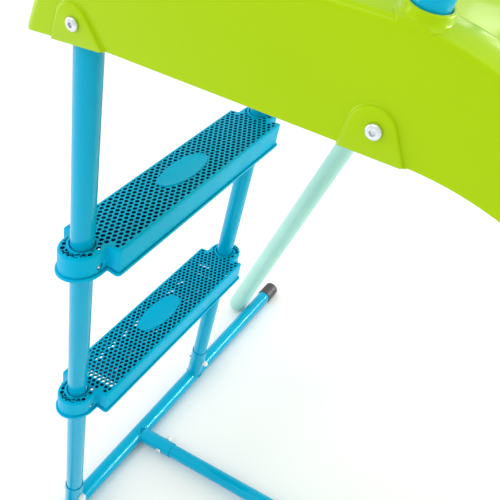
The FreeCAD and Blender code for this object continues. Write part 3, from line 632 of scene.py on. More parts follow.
def tread_frame(name, top):
    """Bottom lip that closes the skirt, with long ribs and post rings."""
    shape = Shape()
    low, high = -SKIRT_DEPTH - LIP, -SKIRT_DEPTH
    edge = quarter(1.0, 3, 0, 90)
    rings = [tread_ring(-6, high, top), tread_ring(-0.2, high, top)]
    rings += [tread_ring(LIP_OUT - 1.0 + b, high - 1.0 + a, top) for a, b in edge]
    rings += [tread_ring(LIP_OUT - 1.0 + a, low + 1.0 - b, top) for a, b in edge]
    rings += [tread_ring(-6, low, top)]
    shape.loft(rings, wrap=True)
    ribs = Shape()
    for x in LONG_RIB_X:
        corner = (x - RIB_THICK / 2, -LONG_RIB_HALF, low)
        rib(ribs, corner, (x + RIB_THICK / 2, LONG_RIB_HALF, -DECK_THICK - 0.4), top)
    for y in (-LONG_RIB_HALF, 0, LONG_RIB_HALF):
        corner = (-TREAD_BACK + 4, y - RIB_THICK / 2, low)
        rib(ribs, corner, (TREAD_FRONT - 4, y + RIB_THICK / 2, -CROSS_RIB_DEPTH - 0.4), top)
    for side in SIDES.values():
        middle = post_point(side, top - SKIRT_DEPTH - LIP / 2)
        half = LIP / 2
        bore, rim = TUBE_D / 2 + 0.4, COLLAR_R - 3
        profile = [(bore, -half), (rim, -half), (rim, half), (bore, half)]
        shape.lathe(middle, UP, profile, 64, wrap=True)
    piece(name + "_lip", shape, "tread_plastic", [name])
    # The long ribs get the blue plastic with painted shade.
    piece(name + "_ribs", ribs, "tread_plastic", [name], material=RIB_PAINTED_SHADE_MATERIAL)


for level, top in TREAD_TOPS.items():
    tread_deck(level + "_tread_deck", top)
    tread_frame(level + "_tread_frame", top)


# ---- slide -----------------------------------------------------------------------------------
RAIL_OUT = 189.6
RAIL_IN = 154.6
SKIN = 3.6
SLIDE_REAR = (170.3, 866.1)             # lower rear corner of the slide
KINK = (256.0, 863.5)                   # the lower edge falls faster from the rear ear onwards
SLIDE_EXIT_X = 1803.0
RUN_FALL = math.radians(38.0)
EXIT_FALL = math.radians(4.0)
CREST_X = 492.0
CREST_Z = 838.3
CREST_R = 205.0
RUNOUT_R = 450.0
RUNOUT_LENGTH = 200.0
PLATFORM_FALL = math.radians(6.1)
RIM_LEAN = -24.0                        # shift of the rim from the lower edge along X
RIM_H = 94.2
RIM_START_X = 228.7
RIM_END_X = 1690.0
RIM_CORNER_R = 26.0
FOOT_CORNER_R = 4.5
FOOT_BULGE = 2.0                        # how far the lower corner is drawn in
END_R = 1.6                             # rounding of the rails' upright ends
CREASE_R = 6.0
CREASE_H = 92.0                         # top of the flat side, under the crowned rim
BED_H = 38.0
COVE_R = 7.0                            # where the bed turns up into the rails
BED_REAR_X = 198.0
UNDER_RIBS = [345.0 + 150.0 * i for i in range(10)]
REAR_BOLT_Z = 879.8
FRONT_BOLT = (473.4, 857.3)
EXIT_BOLT_RISE = 20.0
FRONT_BAR_X = 1640.0
EAR_PROUD = 3.0
EAR_R = 17.0
EAR_DROP = 1.0
REAR_EAR_HALF = 27.0                    # half the width of an ear's foot
FRONT_EAR_HALF = 23.5
BOSS_LIP = 78.5                         # rim of a boss, along the tube from its bolt
BOSS_R = 15.4
BOSS_FLARE = 2.2
HANDRAIL_D = 24.2
EAR_BOLT_SHIFT = (2.2, 1.4)             # of the ear bolts' heads from the posts' and rails' axes


def slide_stations():
    """Ends of the lower edge's stretches: crest, run, sweep and run-out, as (x, z)."""
    crest = (CREST_X, CREST_Z)
    run = (crest[0] + CREST_R * (math.sin(RUN_FALL) - math.sin(PLATFORM_FALL)),
           crest[1] + CREST_R * (math.cos(RUN_FALL) - math.cos(PLATFORM_FALL)))
    flat_x = SLIDE_EXIT_X - RUNOUT_LENGTH * math.cos(EXIT_FALL)
    sweep_x = flat_x - RUNOUT_R * (math.sin(RUN_FALL) - math.sin(EXIT_FALL))
    sweep = (sweep_x, run[1] - (sweep_x - run[0]) * math.tan(RUN_FALL))
    flat = (flat_x, sweep[1] - RUNOUT_R * (math.cos(EXIT_FALL) - math.cos(RUN_FALL)))
    return crest, run, sweep, flat


CREST, RUN, SWEEP, FLAT = slide_stations()


def edge_z(x):
    """Height of the slide's lower edge at X."""
    if x <= KINK[0]:
        return KINK[1] + (KINK[0] - x) * (SLIDE_REAR[1] - KINK[1]) / (KINK[0] - SLIDE_REAR[0])
    if x <= CREST[0]:
        return KINK[1] - (x - KINK[0]) * (KINK[1] - CREST[1]) / (CREST[0] - KINK[0])
    if x <= RUN[0]:
        t = math.asin(math.sin(PLATFORM_FALL) + (x - CREST[0]) / CREST_R)
        return CREST[1] + CREST_R * (math.cos(t) - math.cos(PLATFORM_FALL))
    if x <= SWEEP[0]:
        return RUN[1] - (x - RUN[0]) * math.tan(RUN_FALL)
    if x <= FLAT[0]:
        t = math.asin(math.sin(RUN_FALL) - (x - SWEEP[0]) / RUNOUT_R)
        return SWEEP[1] - RUNOUT_R * (math.cos(t) - math.cos(RUN_FALL))
    return FLAT[1] - (x - FLAT[0]) * math.tan(EXIT_FALL)


def at_height(x, y, h):
    """Point at a height above the lower edge, where X is already on the leaning surface."""
    return Vector((x, y, edge_z(x - RIM_LEAN * h / RIM_H) + h))


def end_rows(foot_x, top_x, top_h, inset, forward):
    """(x, h) up one end of a rail, with both corners rounded; inset moves it inwards."""
    lean = math.atan2(RIM_H, abs(top_x - foot_x))
    sign = 1 if forward else -1
    sine, cosine = math.sin(lean), math.cos(lean)
    push = inset / sine

    def x_at(h):
        return abs(top_x - foot_x) * h / RIM_H + push

    r = FOOT_CORNER_R
    low = r * (1 + cosine)
    rows = []
    for i in range(5):
        t = i / 4
        h = low * t
        rows.append((x_at(h) + FOOT_BULGE * (1 - t) ** 2, h))
    corner = RIM_CORNER_R - inset * 0.5
    tangent = corner * math.tan(lean / 2)
    start_h = top_h - tangent * sine
    for i in range(1, 9):
        h = low + (start_h - low) * i / 8
        rows.append((x_at(h), h))
    centre_x = x_at(start_h) + corner * sine
    centre_h = top_h - corner
    for i in range(1, 13):
        a = (math.pi / 2 + lean) - lean * i / 12
        rows.append((centre_x + corner * math.cos(a), centre_h + corner * math.sin(a)))
    return [(foot_x + sign * x, h) for x, h in rows]


def rail_fractions():
    """Fractions along a rail with steps of about 12 mm, finer round the crest."""
    stations, x = [0.0], SLIDE_REAR[0]
    while x < SLIDE_EXIT_X - 14:
        x += 6.0 if x < 240 or x > SLIDE_EXIT_X - 130 or CREST_X - 20 < x < RUN[0] + 20 else 12.0
        stations.append((x - SLIDE_REAR[0]) / (SLIDE_EXIT_X - SLIDE_REAR[0]))
    return stations + [1.0]


FRACTIONS = rail_fractions()


def rail_grid(y, top_h, inset):
    """Rows of points over one side of a rail, from its lower edge to its top."""
    rear = end_rows(SLIDE_REAR[0], RIM_START_X, top_h, inset, True)
    front = end_rows(SLIDE_EXIT_X, RIM_END_X, top_h, inset, False)
    rows = []
    for (x0, h0), (x1, h1) in zip(rear, front):
        rows.append([at_height(x0 + (x1 - x0) * u, y, h0 + (h1 - h0) * u) for u in FRACTIONS])
    return rows


def boundary(rows):
    """Points up the rear end, along the top and down the front end of a grid of rows."""
    return [row[0] for row in rows] + rows[-1][1:-1] + [row[-1] for row in reversed(rows)]


def rim_section():
    """(y, top height, inset) over the rail's rim, from the outer face to the inner one."""
    r = CREASE_R
    bend = quarter(r, 8, 0, 86)
    section = []
    for i, (a, b) in enumerate(bend):
        section.append((RAIL_OUT - r + a, CREASE_H - r + b, END_R * (1 - i / (len(bend) - 1))))
    outer_y, outer_h = section[-1][0], section[-1][1]
    inner_y = RAIL_IN + 3.0
    peak = 0.55
    for i in range(1, 16):
        t = i / 16
        if t < peak:
            rise = math.sin(math.pi / 2 * t / peak)
        else:
            rise = 1 - ((t - peak) / (1 - peak)) ** 2 * 0.42
        section.append((outer_y + (inner_y - outer_y) * t, outer_h + (RIM_H - outer_h) * rise, 0.0))
    for i, (a, b) in enumerate(quarter(3.0, 6, 90, 180)):
        section.append((inner_y + a, RIM_H - 4.6 + b, END_R * i / 6))
    return section


def add_grid(shape, rows):
    """Quads over rows of points."""
    n = len(rows[0])
    faces = []
    for j in range(len(rows) - 1):
        for i in range(n - 1):
            faces.append((j * n + i, j * n + i + 1, (j + 1) * n + i + 1, (j + 1) * n + i))
    shape.add([p for row in rows for p in row], faces)


def slide_skin():
    """One-sided skin of both rails and the bed, thickened afterwards."""
    shape = Shape()
    section = rim_section()
    for side in SIDES.values():
        outer = rail_grid(side * section[0][0], section[0][1], section[0][2])
        inner = rail_grid(side * section[-1][0], section[-1][1], section[-1][2])
        add_grid(shape, outer)
        add_grid(shape, [boundary(rail_grid(side * y, h, inset)) for y, h, inset in section])
        add_grid(shape, inner)
    return shape


def slide_bed():
    """Sliding surface with a cove along each rail and a turned-down end."""
    across = [(-RAIL_IN - 0.8, BED_H + COVE_R + 2)]
    across += [(-RAIL_IN + COVE_R + a, BED_H + COVE_R + b) for a, b in quarter(COVE_R, 6, 180, 270)]
    across += [(y, BED_H) for y in range(-132, 133, 22)]
    across += [(RAIL_IN - COVE_R + a, BED_H + COVE_R + b) for a, b in quarter(COVE_R, 6, 270, 360)]
    across.append((RAIL_IN + 0.8, BED_H + COVE_R + 2))
    rows = []
    length = SLIDE_EXIT_X - BED_REAR_X
    turn_down = [(0.0, -30.0), (0.0, -18.0), (0.0, -8.0), (0.9, -4.5), (2.9, -1.9), (6.0, -0.5)]
    stations = [(BED_REAR_X + x, d) for x, d in turn_down]
    stations += [(BED_REAR_X + 10 + (length - 20) * i / 170, 0.0) for i in range(171)]
    stations += [(SLIDE_EXIT_X - x, d) for x, d in reversed(turn_down)]
    for x, drop in stations:
        rows.append([Vector((x, y, edge_z(x) + h + drop)) for y, h in across])
    shape = Shape()
    add_grid(shape, rows)
    return shape


def ear_outline(x, z, half_foot, grow):
    """Closed outline of a raised pad: a round head that widens to a foot along the edge."""
    r = EAR_R + grow
    points = []
    for i in range(25):
        a = math.radians(23 + 134 * i / 24)
        points.append((x + r * math.cos(a), z + r * math.sin(a)))
    foot = half_foot + grow
    for i in range(25):
        q = x - foot + 2 * foot * i / 24
        tuck = 1.2 if i == 24 else 0.0
        points.append((q, edge_z(q) - EAR_DROP - grow * 0.3 + tuck))
    return points


def ear(shape, side, x, z, half_foot):
    """Raised pad round an ear bolt, on the outer face of a rail."""
    levels = [(RAIL_OUT - SKIN, 1.4), (RAIL_OUT - 0.1, 1.4), (RAIL_OUT + 0.35, 0.45)]
    levels += [(RAIL_OUT + EAR_PROUD - 2.2 + b, a - 2.2) for a, b in quarter(2.2, 6, 0, 90)]
    shape.loft([[Vector((px, side * y, pz)) for px, pz in ear_outline(x, z, half_foot, grow)]
                for y, grow in levels])


def boss_lip(shape, side, bolt):
    """Lip round the tube where it comes out of the rim, kept within the rail's width."""
    profile = [(HANDRAIL_D / 2 + 0.35, BOSS_LIP - 16), (BOSS_R + 5, BOSS_LIP - 16)]
    profile.append((BOSS_R + 4.6, BOSS_LIP - 7.5))
    for i in range(9):
        a = math.radians(90 * i / 8)
        along = BOSS_LIP - 1.4 - 5.0 * math.cos(a) ** 1.3
        profile.append((BOSS_R + BOSS_FLARE * (1 - math.sin(a)), along))
    profile += [(BOSS_R - 1.2 + a, BOSS_LIP - 1.2 + b) for a, b in quarter(1.2, 5, 0, 90)]
    profile += [(HANDRAIL_D / 2 + 1.2, BOSS_LIP - 0.1), (HANDRAIL_D / 2 + 0.5, BOSS_LIP - 0.9)]
    boss = Shape()
    boss.lathe(bolt, UP, profile, 96, wrap=True)
    inner, outer = RAIL_IN + 1.2, RAIL_OUT - 0.6
    inside = [Vector((p.x, side * min(max(abs(p.y), inner), outer), p.z)) for p in boss.points]
    shape.add(inside, boss.faces)


def bolt_sleeve(shape, side, bolt):
    """Moulded sleeve round an ear bolt, inside the rail."""
    near, far = -side * 1.0, side * (RAIL_OUT - POST_Y - 3)
    wall = [(4.0, near), (7.5, near), (7.5, far), (4.0, far)]
    shape.lathe(bolt, (0, 1, 0), wall, 32, wrap=True)


def under_rib(shape, x):
    """Stiffening rib across the slide, under the bed, with a bowed lower edge."""
    reach = RAIL_IN + 1.5
    back, front, tip = x - 0.4, x + SKIN + 0.4, x + SKIN / 2
    sections = []
    for i in range(13):
        y = -reach + 2 * reach * i / 12
        sag = 4.0 * (1 - (y / reach) ** 2)
        low, high = edge_z(x) + 10 + sag, edge_z(x) + BED_H - 1.5
        corners = [(back, low + 1), (tip, low), (front, low + 1)]
        corners += [(front, high - SKIN), (back, high - SKIN)]
        sections.append([Vector((px, y, pz)) for px, pz in corners])
    shape.loft(sections)


def slide_details():
    """Ears, boss lips and bolt sleeves, and the ribs under the bed."""
    shape = Shape()
    rear_x = post_point(1, REAR_BOLT_Z).x
    for side in SIDES.values():
        for x, z, half_foot in ((rear_x, REAR_BOLT_Z, REAR_EAR_HALF), (*FRONT_BOLT, FRONT_EAR_HALF)):
            bolt = Vector((x, side * POST_Y, z))
            ear(shape, side, x, z, half_foot)
            boss_lip(shape, side, bolt)
            bolt_sleeve(shape, side, bolt)
    for x in UNDER_RIBS:
        under_rib(shape, x)
    return shape


def joined(found, *others):
    """Adds other pieces' meshes to a piece and removes them."""
    whole = bmesh.new()
    for one in (found, *others):
        whole.from_mesh(one.data)
    whole.to_mesh(found.data)
    whole.free()
    for one in others:
        bpy.data.objects.remove(one)
    found.data.set_sharp_from_angle(angle=math.radians(40))
    return found


def make_slide():
    """Thickened rails and bed with their details, as one moulded piece."""
    thicken = ("SOLIDIFY", {"thickness": SKIN * MM, "offset": -1.0, "use_even_offset": True,
                            "use_rim": True})
    body = applied(piece("slide_shell", slide_skin(), "lime_plastic", ["slide_body"], sharp=40), thicken)
    bed = applied(piece("bed", slide_bed(), "lime_plastic", sharp=50), thicken)
    return joined(body, bed, piece("details", slide_details(), "lime_plastic"))


make_slide()

# ---- tubes -----------------------------------------------------------------------------------
POST_FOOT = 18.0
POST_TOP_Z = 900.0
HANDRAIL_TOP_Z = 1165.0
HANDRAIL_R = 72.0
HANDRAIL_END = 14.0
SPIGOT_D = 22.0
BAR_D = 26.7
REAR_BAR_HALF = 455.0
FRONT_BAR_HALF = 245.0
SOCKET_D = 28.4
SOCKET_WALL = 1.2
SOCKET_LENGTH = 81.0
SOCKET_BOLT_Z = 63.0
CENTRE_D = 23.2
CENTRE_WALL = 1.4
TEE_D = 26.2
TEE_WALL = 1.3
TUBE_START = 11.0            # welded tubes start this far from their bar's axis, inside its wall
TEE_LENGTH = 77.0
TEE_BOLT = 56.0
CENTRE_JOINT_X = 850.0
CENTRE_NECK = 60.0
CAP_LENGTH = 23.0
CAP_R = 15.05
WELD_R = 1.9


def bead(shape, path, radius, count=10):
    """Round bead along a closed path."""
    rings = []
    n = len(path)
    for i, p in enumerate(path):
        along = (path[(i + 1) % n] - path[i - 1]).normalized()
        u, v = square_axes(along)
        rings.append([p + (u * math.cos(t) + v * math.sin(t)) * radius for t in turn(count)])
    shape.loft(rings, wrap=True)


def weld(shape, foot, axis, r, bar_r):
    """Weld bead where a tube along an axis leaves a floor bar along Y."""
    across = Vector((0, 1, 0)).cross(Vector(axis)).normalized()
    path = []
    for i, t in enumerate(turn(72)):
        side = r * math.cos(t)
        reach = math.sqrt(max(bar_r ** 2 - side ** 2, 4.0))
        ripple = 0.25 * math.sin(i * 2.1)
        path.append(Vector(foot) + Vector(axis) * (reach + 0.3 + ripple) + across * (side * 1.005)
                    + Vector((0, r * math.sin(t) * 1.005, 0)))
    bead(shape, path, WELD_R)


def bent(corners, radius, steps=18):
    """Path through corners rounded to a bend radius."""
    path = [corners[0]]
    for before, corner, after in zip(corners, corners[1:], corners[2:]):
        u, w = (corner - before).normalized(), (after - corner).normalized()
        angle = u.angle(w)
        back = radius * math.tan(angle / 2)
        start = corner - u * back
        side = (w - u * u.dot(w)).normalized()
        centre = start + side * radius
        for i in range(steps + 1):
            t = angle * i / steps
            path.append(centre - side * radius * math.cos(t) + u * radius * math.sin(t))
    return path + [corners[-1]]


def front_bolt(side):
    """Where a handrail's foot crosses its front ear bolt."""
    return Vector((FRONT_BOLT[0], side * POST_Y, FRONT_BOLT[1]))


def make_ladder_tubes():
    """Posts, and the handrails that plug into them and come down into the rails."""
    for word, side in SIDES.items():
        post = Shape()
        foot = Vector((0, side * POST_Y, BAR_AXIS_Z)) + UP * POST_FOOT
        hollow_tube(post, [foot, post_point(side, POST_TOP_Z)], TUBE_D, TUBE_WALL, 64)
        piece("post_tube_" + word, post, "blue_paint", ["post_" + word])
        rail = Shape()
        start = post_point(side, POST_TOP_Z)
        bolt = front_bolt(side)
        front_top = bolt + UP * ((HANDRAIL_TOP_Z - bolt.z) / UP.z)
        corners = [start, post_point(side, HANDRAIL_TOP_Z), front_top, bolt - UP * HANDRAIL_END]
        hollow_tube(rail, bent(corners, HANDRAIL_R), HANDRAIL_D, TUBE_WALL, 64)
        hollow_tube(rail, [start - UP * 42, start + UP * 6], SPIGOT_D, TUBE_WALL, 48)
        piece("handrail_tube_" + word, rail, "blue_paint", ["handrail_" + word])


def floor_bar(x, half, forward, uprights):
    """Bar along Y with welded tubes: uprights as (start, direction, end, diameter, wall)."""
    bar = Shape()
    middle = Vector((x, 0, BAR_AXIS_Z))
    reach = Vector((0, half, 0))
    hollow_tube(bar, [middle - reach, middle + reach], BAR_D, TUBE_WALL, 64)
    for foot, up, top, d, wall in uprights:
        hollow_tube(bar, [foot + up * TUBE_START, top], d, wall, 64)
        weld(bar, foot, up, d / 2, BAR_D / 2)
    hollow_tube(bar, [middle + forward * TUBE_START, middle + forward * TEE_LENGTH], TEE_D, TEE_WALL, 64)
    weld(bar, middle, forward, TEE_D / 2, BAR_D / 2)
    return bar


def make_rear_bar():
    """Floor bar under the ladder, with its leaning sockets and the sleeve of the centre tube."""
    sockets = []
    for side in SIDES.values():
        foot = Vector((0, side * POST_Y, BAR_AXIS_Z))
        sockets.append((foot, UP, foot + UP * SOCKET_LENGTH, SOCKET_D, SOCKET_WALL))
    bar = floor_bar(0, REAR_BAR_HALF, Vector((1, 0, 0)), sockets)
    piece("rear_bar_tube", bar, "blue_paint", ["rear_base_bar"])


def make_front_bar():
    """Floor bar under the exit, with two uprights and the sleeve of the centre tube."""
    top_z = edge_z(FRONT_BAR_X) + EXIT_BOLT_RISE + 18
    uprights = []
    for side in SIDES.values():
        foot = Vector((FRONT_BAR_X, side * POST_Y, BAR_AXIS_Z))
        uprights.append((foot, Vector((0, 0, 1)), Vector((foot.x, foot.y, top_z)), TUBE_D, TUBE_WALL))
    bar = floor_bar(FRONT_BAR_X, FRONT_BAR_HALF, Vector((-1, 0, 0)), uprights)
    piece("front_bar_tube", bar, "blue_paint", ["front_base_bar"])


def make_centre_tubes():
    """The two lengths of the centre tube; the front one's neck plugs into the rear one."""
    joint = Vector((CENTRE_JOINT_X, 0, BAR_AXIS_Z))
    start = Vector((BAR_D / 2 + 1, 0, BAR_AXIS_Z))
    end = Vector((FRONT_BAR_X - BAR_D / 2 - 1, 0, BAR_AXIS_Z))
    rear_half, front_half = Shape(), Shape()
    hollow_tube(rear_half, [start, joint], CENTRE_D, CENTRE_WALL, 64)
    hollow_tube(front_half, [joint + Vector((0.4, 0, 0)), end], CENTRE_D, CENTRE_WALL, 64)
    neck = [joint - Vector((CENTRE_NECK, 0, 0)), joint + Vector((2, 0, 0))]
    hollow_tube(front_half, neck, CENTRE_D - 3.1, CENTRE_WALL, 48)
    piece("centre_rear_tube", rear_half, "blue_paint", ["centre_tube_rear"])
    piece("centre_front_tube", front_half, "blue_paint", ["centre_tube_front"])


def make_caps():
    """Plastic caps with a rounded end and a shallow grip ring, flattened where they stand."""
    for bar, x, half in (("rear", 0.0, REAR_BAR_HALF), ("front", FRONT_BAR_X, FRONT_BAR_HALF)):
        for word, side in SIDES.items():
            shape = Shape()
            bore = BAR_D / 2 + 0.1
            profile = [(bore, -14.0), (CAP_R - 0.5, -14.0), (CAP_R, -13.4)]
            profile += [(CAP_R, 4.0), (CAP_R - 0.35, 4.5), (CAP_R, 5.0), (CAP_R, CAP_LENGTH - 4)]
            profile += [(CAP_R - 4 + a, CAP_LENGTH - 4 + b) for a, b in quarter(4.0, 8, 10, 90)]
            profile += [(8.2, CAP_LENGTH), (7.6, CAP_LENGTH - 0.6), (0.0, CAP_LENGTH - 0.6)]
            profile += [(0.0, 1.0), (10.4, 1.0), (10.4, -12.0), (11.4, -12.0), (11.4, 0.0), (bore, 0.0)]
            shape.lathe((x, side * half, BAR_AXIS_Z), (0, side, 0), profile, 64, wrap=True)
            shape.points = [Vector((p.x, p.y, max(p.z, 0.0))) for p in shape.points]
            name = bar + "_cap_" + word
            piece(name + "_moulded", shape, "cap_plastic", [name])


make_ladder_tubes()
make_rear_bar()
make_front_bar()
make_centre_tubes()
make_caps()

# ---- fasteners -------------------------------------------------------------------------------
HEAD_R = 5.8
HEAD_H = 3.4
SHANK_R = 3.0
SEAT_GAP = 0.1
LEG_TOP = Vector((411.0, 207.0, 862.0))
LEG_FOOT = Vector((-37.4, 390.5, 18.5))
LEG_HUB_HALF = 13.5
LEG_HUB_R = 17.0
LEG_TOP_R = 13.0
LEG_FOOT_R = 18.5
PIVOT_GAP = 0.3


def hexagon(t, across):
    """Distance from the middle to a hexagon's side in a direction."""
    return across / 2 / math.cos((t % (math.pi / 3)) - math.pi / 6)


def rings_along(shape, start, axis, sections, count=48):
    """Skin over sections given as (radius function of angle, distance along the axis)."""
    u, v = square_axes(axis)
    axis = Vector(axis).normalized()
    rings = []
    for radius, along in sections:
        centre = Vector(start) + axis * along
        rings.append([centre + (u * math.cos(t) + v * math.sin(t)) * radius(t) for t in turn(count)])
    shape.loft(rings)


def round_at(r):
    """The radius function of a circle."""
    return lambda t: r


def button_bolt(shape, seat, axis, grip):
    """Button-head bolt with a hexagon recess and a threaded end."""
    axis = Vector(axis).normalized()
    sections = [(round_at(SHANK_R - 0.5), -grip), (round_at(SHANK_R), -grip + 0.7)]
    thread = [(SHANK_R - 0.28 * (i % 2), -grip + 0.7 + 0.5 * i) for i in range(1, 19)]
    sections += [(round_at(r), along) for r, along in thread]
    sections += [(round_at(SHANK_R), -grip + 10.4), (round_at(SHANK_R), 0.0)]
    sections += [(round_at(HEAD_R - 0.3), 0.0), (round_at(HEAD_R), 0.35), (round_at(HEAD_R), 0.9)]
    for i in range(1, 8):
        a = math.radians(12 + 68 * i / 7)
        crown = 3.4 + (HEAD_R - 3.4) * math.cos(a)
        sections.append((round_at(crown), 1.5 + (HEAD_H - 1.5) * math.sin(a)))
    sections += [(lambda t: hexagon(t, 4.3), HEAD_H + 0.05), (lambda t: hexagon(t, 4.0), HEAD_H - 0.25)]
    sections += [(lambda t: hexagon(t, 4.0), HEAD_H - 2.2), (round_at(0.05), HEAD_H - 2.9)]
    rings_along(shape, seat, -axis, sections)


def cap_nut(shape, seat, axis, across=10.0):
    """Domed nut with chamfered flats."""
    circle = across / math.sqrt(3)
    sections = [(round_at(SHANK_R + 0.1), 8.0), (round_at(SHANK_R + 0.1), 0.0)]
    sections.append((lambda t: min(hexagon(t, across), circle * 0.93), 0.0))
    sections += [(lambda t: hexagon(t, across), 0.6), (lambda t: hexagon(t, across), 4.2)]
    sections.append((lambda t: min(hexagon(t, across), circle * 0.94), 5.0))
    sections.append((round_at(across / 2 - 0.4), 5.3))
    dome = across / 2 - 0.4
    for i in range(1, 9):
        a = math.radians(90 * i / 8)
        sections.append((round_at(max(dome * math.cos(a), 0.05)), 5.3 + dome * 0.96 * math.sin(a)))
    rings_along(shape, seat, axis, sections)


SLOT_OF = {part["node"]: part["material_slot"] for part in frame["record"]["subparts"]}


def fasteners(name, joints, nodes):
    """A set of bolts and their nuts: joints are (seat, axis, grip)."""
    bolts, nuts = Shape(), Shape()
    for seat, axis, grip in joints:
        axis = Vector(axis).normalized()
        button_bolt(bolts, seat, axis, grip + 7.5)
        cap_nut(nuts, Vector(seat) + axis * grip, axis)
    piece(name + "_heads", bolts, "zinc_steel", [nodes[0]])
    piece(name + "_domes", nuts, SLOT_OF[nodes[1]], [nodes[1]])


def rail_joints(x, z, proud):
    """Seat, direction and grip of the bolt through each rail at x, z."""
    seat_y = RAIL_OUT + proud + SEAT_GAP
    grip = RAIL_OUT + proud - RAIL_IN + 2 * SEAT_GAP
    return [((x, side * seat_y, z), (0, -side, 0), grip) for side in SIDES.values()]


def make_fasteners():
    """Bolts and nuts of every joint of the tubes, the trough and the leg."""
    half = SOCKET_D / 2 + SEAT_GAP
    fasteners("socket", [(post_point(side, SOCKET_BOLT_Z) - ACROSS * half, ACROSS, 2 * half)
                         for side in SIDES.values()], ("socket_bolts", "socket_nuts"))
    crossed = [(TEE_BOLT, TEE_D), (CENTRE_JOINT_X - CENTRE_NECK / 2, CENTRE_D)]
    crossed.append((FRONT_BAR_X - TEE_BOLT, TEE_D))
    fasteners("centre", [((x, -d / 2 - SEAT_GAP, BAR_AXIS_Z), (0, 1, 0), d + 2 * SEAT_GAP)
                         for x, d in crossed], ("centre_bolts", "centre_nuts"))
    rear_x = post_point(1, REAR_BOLT_Z).x
    for word, x, z in (("rear", rear_x, REAR_BOLT_Z), ("front", *FRONT_BOLT)):
        joints = rail_joints(x + EAR_BOLT_SHIFT[0], z + EAR_BOLT_SHIFT[1], EAR_PROUD)
        fasteners(word + "_ear", joints, (word + "_ear_bolts", word + "_ear_nuts"))
    exit_z = edge_z(FRONT_BAR_X) + EXIT_BOLT_RISE
    fasteners("exit", rail_joints(FRONT_BAR_X, exit_z, 0.0), ("exit_bolts", "exit_nuts"))
    seat = LEG_TOP + Vector((0, LEG_HUB_HALF + PIVOT_GAP, 0))
    grip = seat.y - RAIL_IN + SEAT_GAP
    fasteners("pivot", [(seat, (0, -1, 0), grip)], ("leg_pivot_bolt", "leg_pivot_nut"))


def cross_recess(t):
    """Radius of a cross-shaped recess at an angle."""
    return 0.55 + 1.25 * abs(math.cos(2 * t)) ** 6


def make_screws():
    """Pan-head screws with a cross recess, in the collars' pockets."""
    shape = Shape()
    for top in TREAD_TOPS.values():
        for side in SIDES.values():
            middle = post_point(side, top + POCKET_Z)
            seat = middle + Vector((COLLAR_R - POCKET_DEPTH + SCREW_OUT, 0, 0))
            sections = [(round_at(1.7), -(COLLAR_R - POCKET_DEPTH - 9.4)), (round_at(1.7), 0.0)]
            sections += [(round_at(3.6), 0.0), (round_at(3.7), 0.5)]
            for i in range(1, 7):
                a = math.radians(80 * i / 6)
                sections.append((round_at(1.9 + 1.8 * math.cos(a)), 0.8 + 1.8 * math.sin(a)))
            sections += [(cross_recess, 2.6), (cross_recess, 1.2), (round_at(0.05), 0.9)]
            rings_along(shape, seat, (1, 0, 0), sections)
    piece("screw_heads", shape, "zinc_steel", ["tread_screws"])


def make_plugs():
    """Domed plugs in the lower ends of the handrails."""
    shape = Shape()
    for side in SIDES.values():
        end = front_bolt(side) - UP * HANDRAIL_END
        edge = [(TUBE_D / 2 - 1.3 + a * 0.8, b * 0.8) for a, b in quarter(1.0, 4, 0, 90)]
        profile = [(0.0, -7.0), (TUBE_D / 2 - 2.4, -7.0), (TUBE_D / 2 - TUBE_WALL - 0.15, -6.0),
                   (TUBE_D / 2 - TUBE_WALL - 0.15, 0.0), (TUBE_D / 2 - 0.5, 0.0)]
        profile += [(r, 1.2 + along) for r, along in edge] + [(0.0, 2.0)]
        shape.lathe(end, -UP, profile, 48)
    piece("plugs_moulded", shape, SLOT_OF["handrail_plugs"], ["handrail_plugs"])


def seamed(r):
    """Radius function of a moulded round with a fine parting line on either side."""
    return lambda t: r + 0.22 * max(0.0, 1 - abs(math.sin(t)) * 14)


def make_leg():
    """Tapered moulded leg with a domed foot, a parting line and a pivot hub."""
    shape = Shape()
    axis = (LEG_FOOT - LEG_TOP).normalized()
    length = (LEG_FOOT - LEG_TOP).length
    sections = []
    for i in range(61):
        along = 4.0 + (length - 4.0) * i / 60
        sections.append((seamed(LEG_TOP_R + (LEG_FOOT_R - LEG_TOP_R) * along / length), along))
    for i in range(1, 17):
        a = math.radians(90 * i / 16)
        dome = max(LEG_FOOT_R * math.cos(a), 0.05)
        sections.append((round_at(dome), length + LEG_FOOT_R * math.sin(a)))
    rings_along(shape, LEG_TOP, axis, sections, 96)
    bore = 3.1
    edge = quarter(2.0, 5, 0, 90)
    profile = [(bore, -LEG_HUB_HALF), (LEG_HUB_R - 2, -LEG_HUB_HALF)]
    profile += [(LEG_HUB_R - 2 + b, -LEG_HUB_HALF + 2 - a) for a, b in edge]
    profile += [(LEG_HUB_R - 2 + a, LEG_HUB_HALF - 2 + b) for a, b in edge]
    profile += [(9.0, LEG_HUB_HALF), (8.4, LEG_HUB_HALF - 0.7), (bore, LEG_HUB_HALF - 0.7)]
    shape.lathe(LEG_TOP, (0, 1, 0), profile, 72, wrap=True)
    shape.points = [Vector((p.x, p.y, max(p.z, 0.02))) for p in shape.points]
    piece("leg_moulded", shape, "mint_plastic", ["stabiliser_leg"], "leg", sharp=40)


def make_leg_washer():
    """Spacer between the far rail and the leg's hub."""
    washer = Shape()
    y0, y1 = RAIL_OUT + SEAT_GAP, LEG_TOP.y - LEG_HUB_HALF - PIVOT_GAP
    profile = [(3.3, y0), (11.6, y0), (12.0, y0 + 0.4), (12.0, y1 - 0.4), (11.6, y1), (3.3, y1)]
    washer.lathe((LEG_TOP.x, 0, LEG_TOP.z), (0, 1, 0), profile, 48, wrap=True)
    piece("washer_disc", washer, SLOT_OF["leg_washer"], ["leg_washer"])


make_fasteners()
make_screws()
make_plugs()
make_leg()
make_leg_washer()

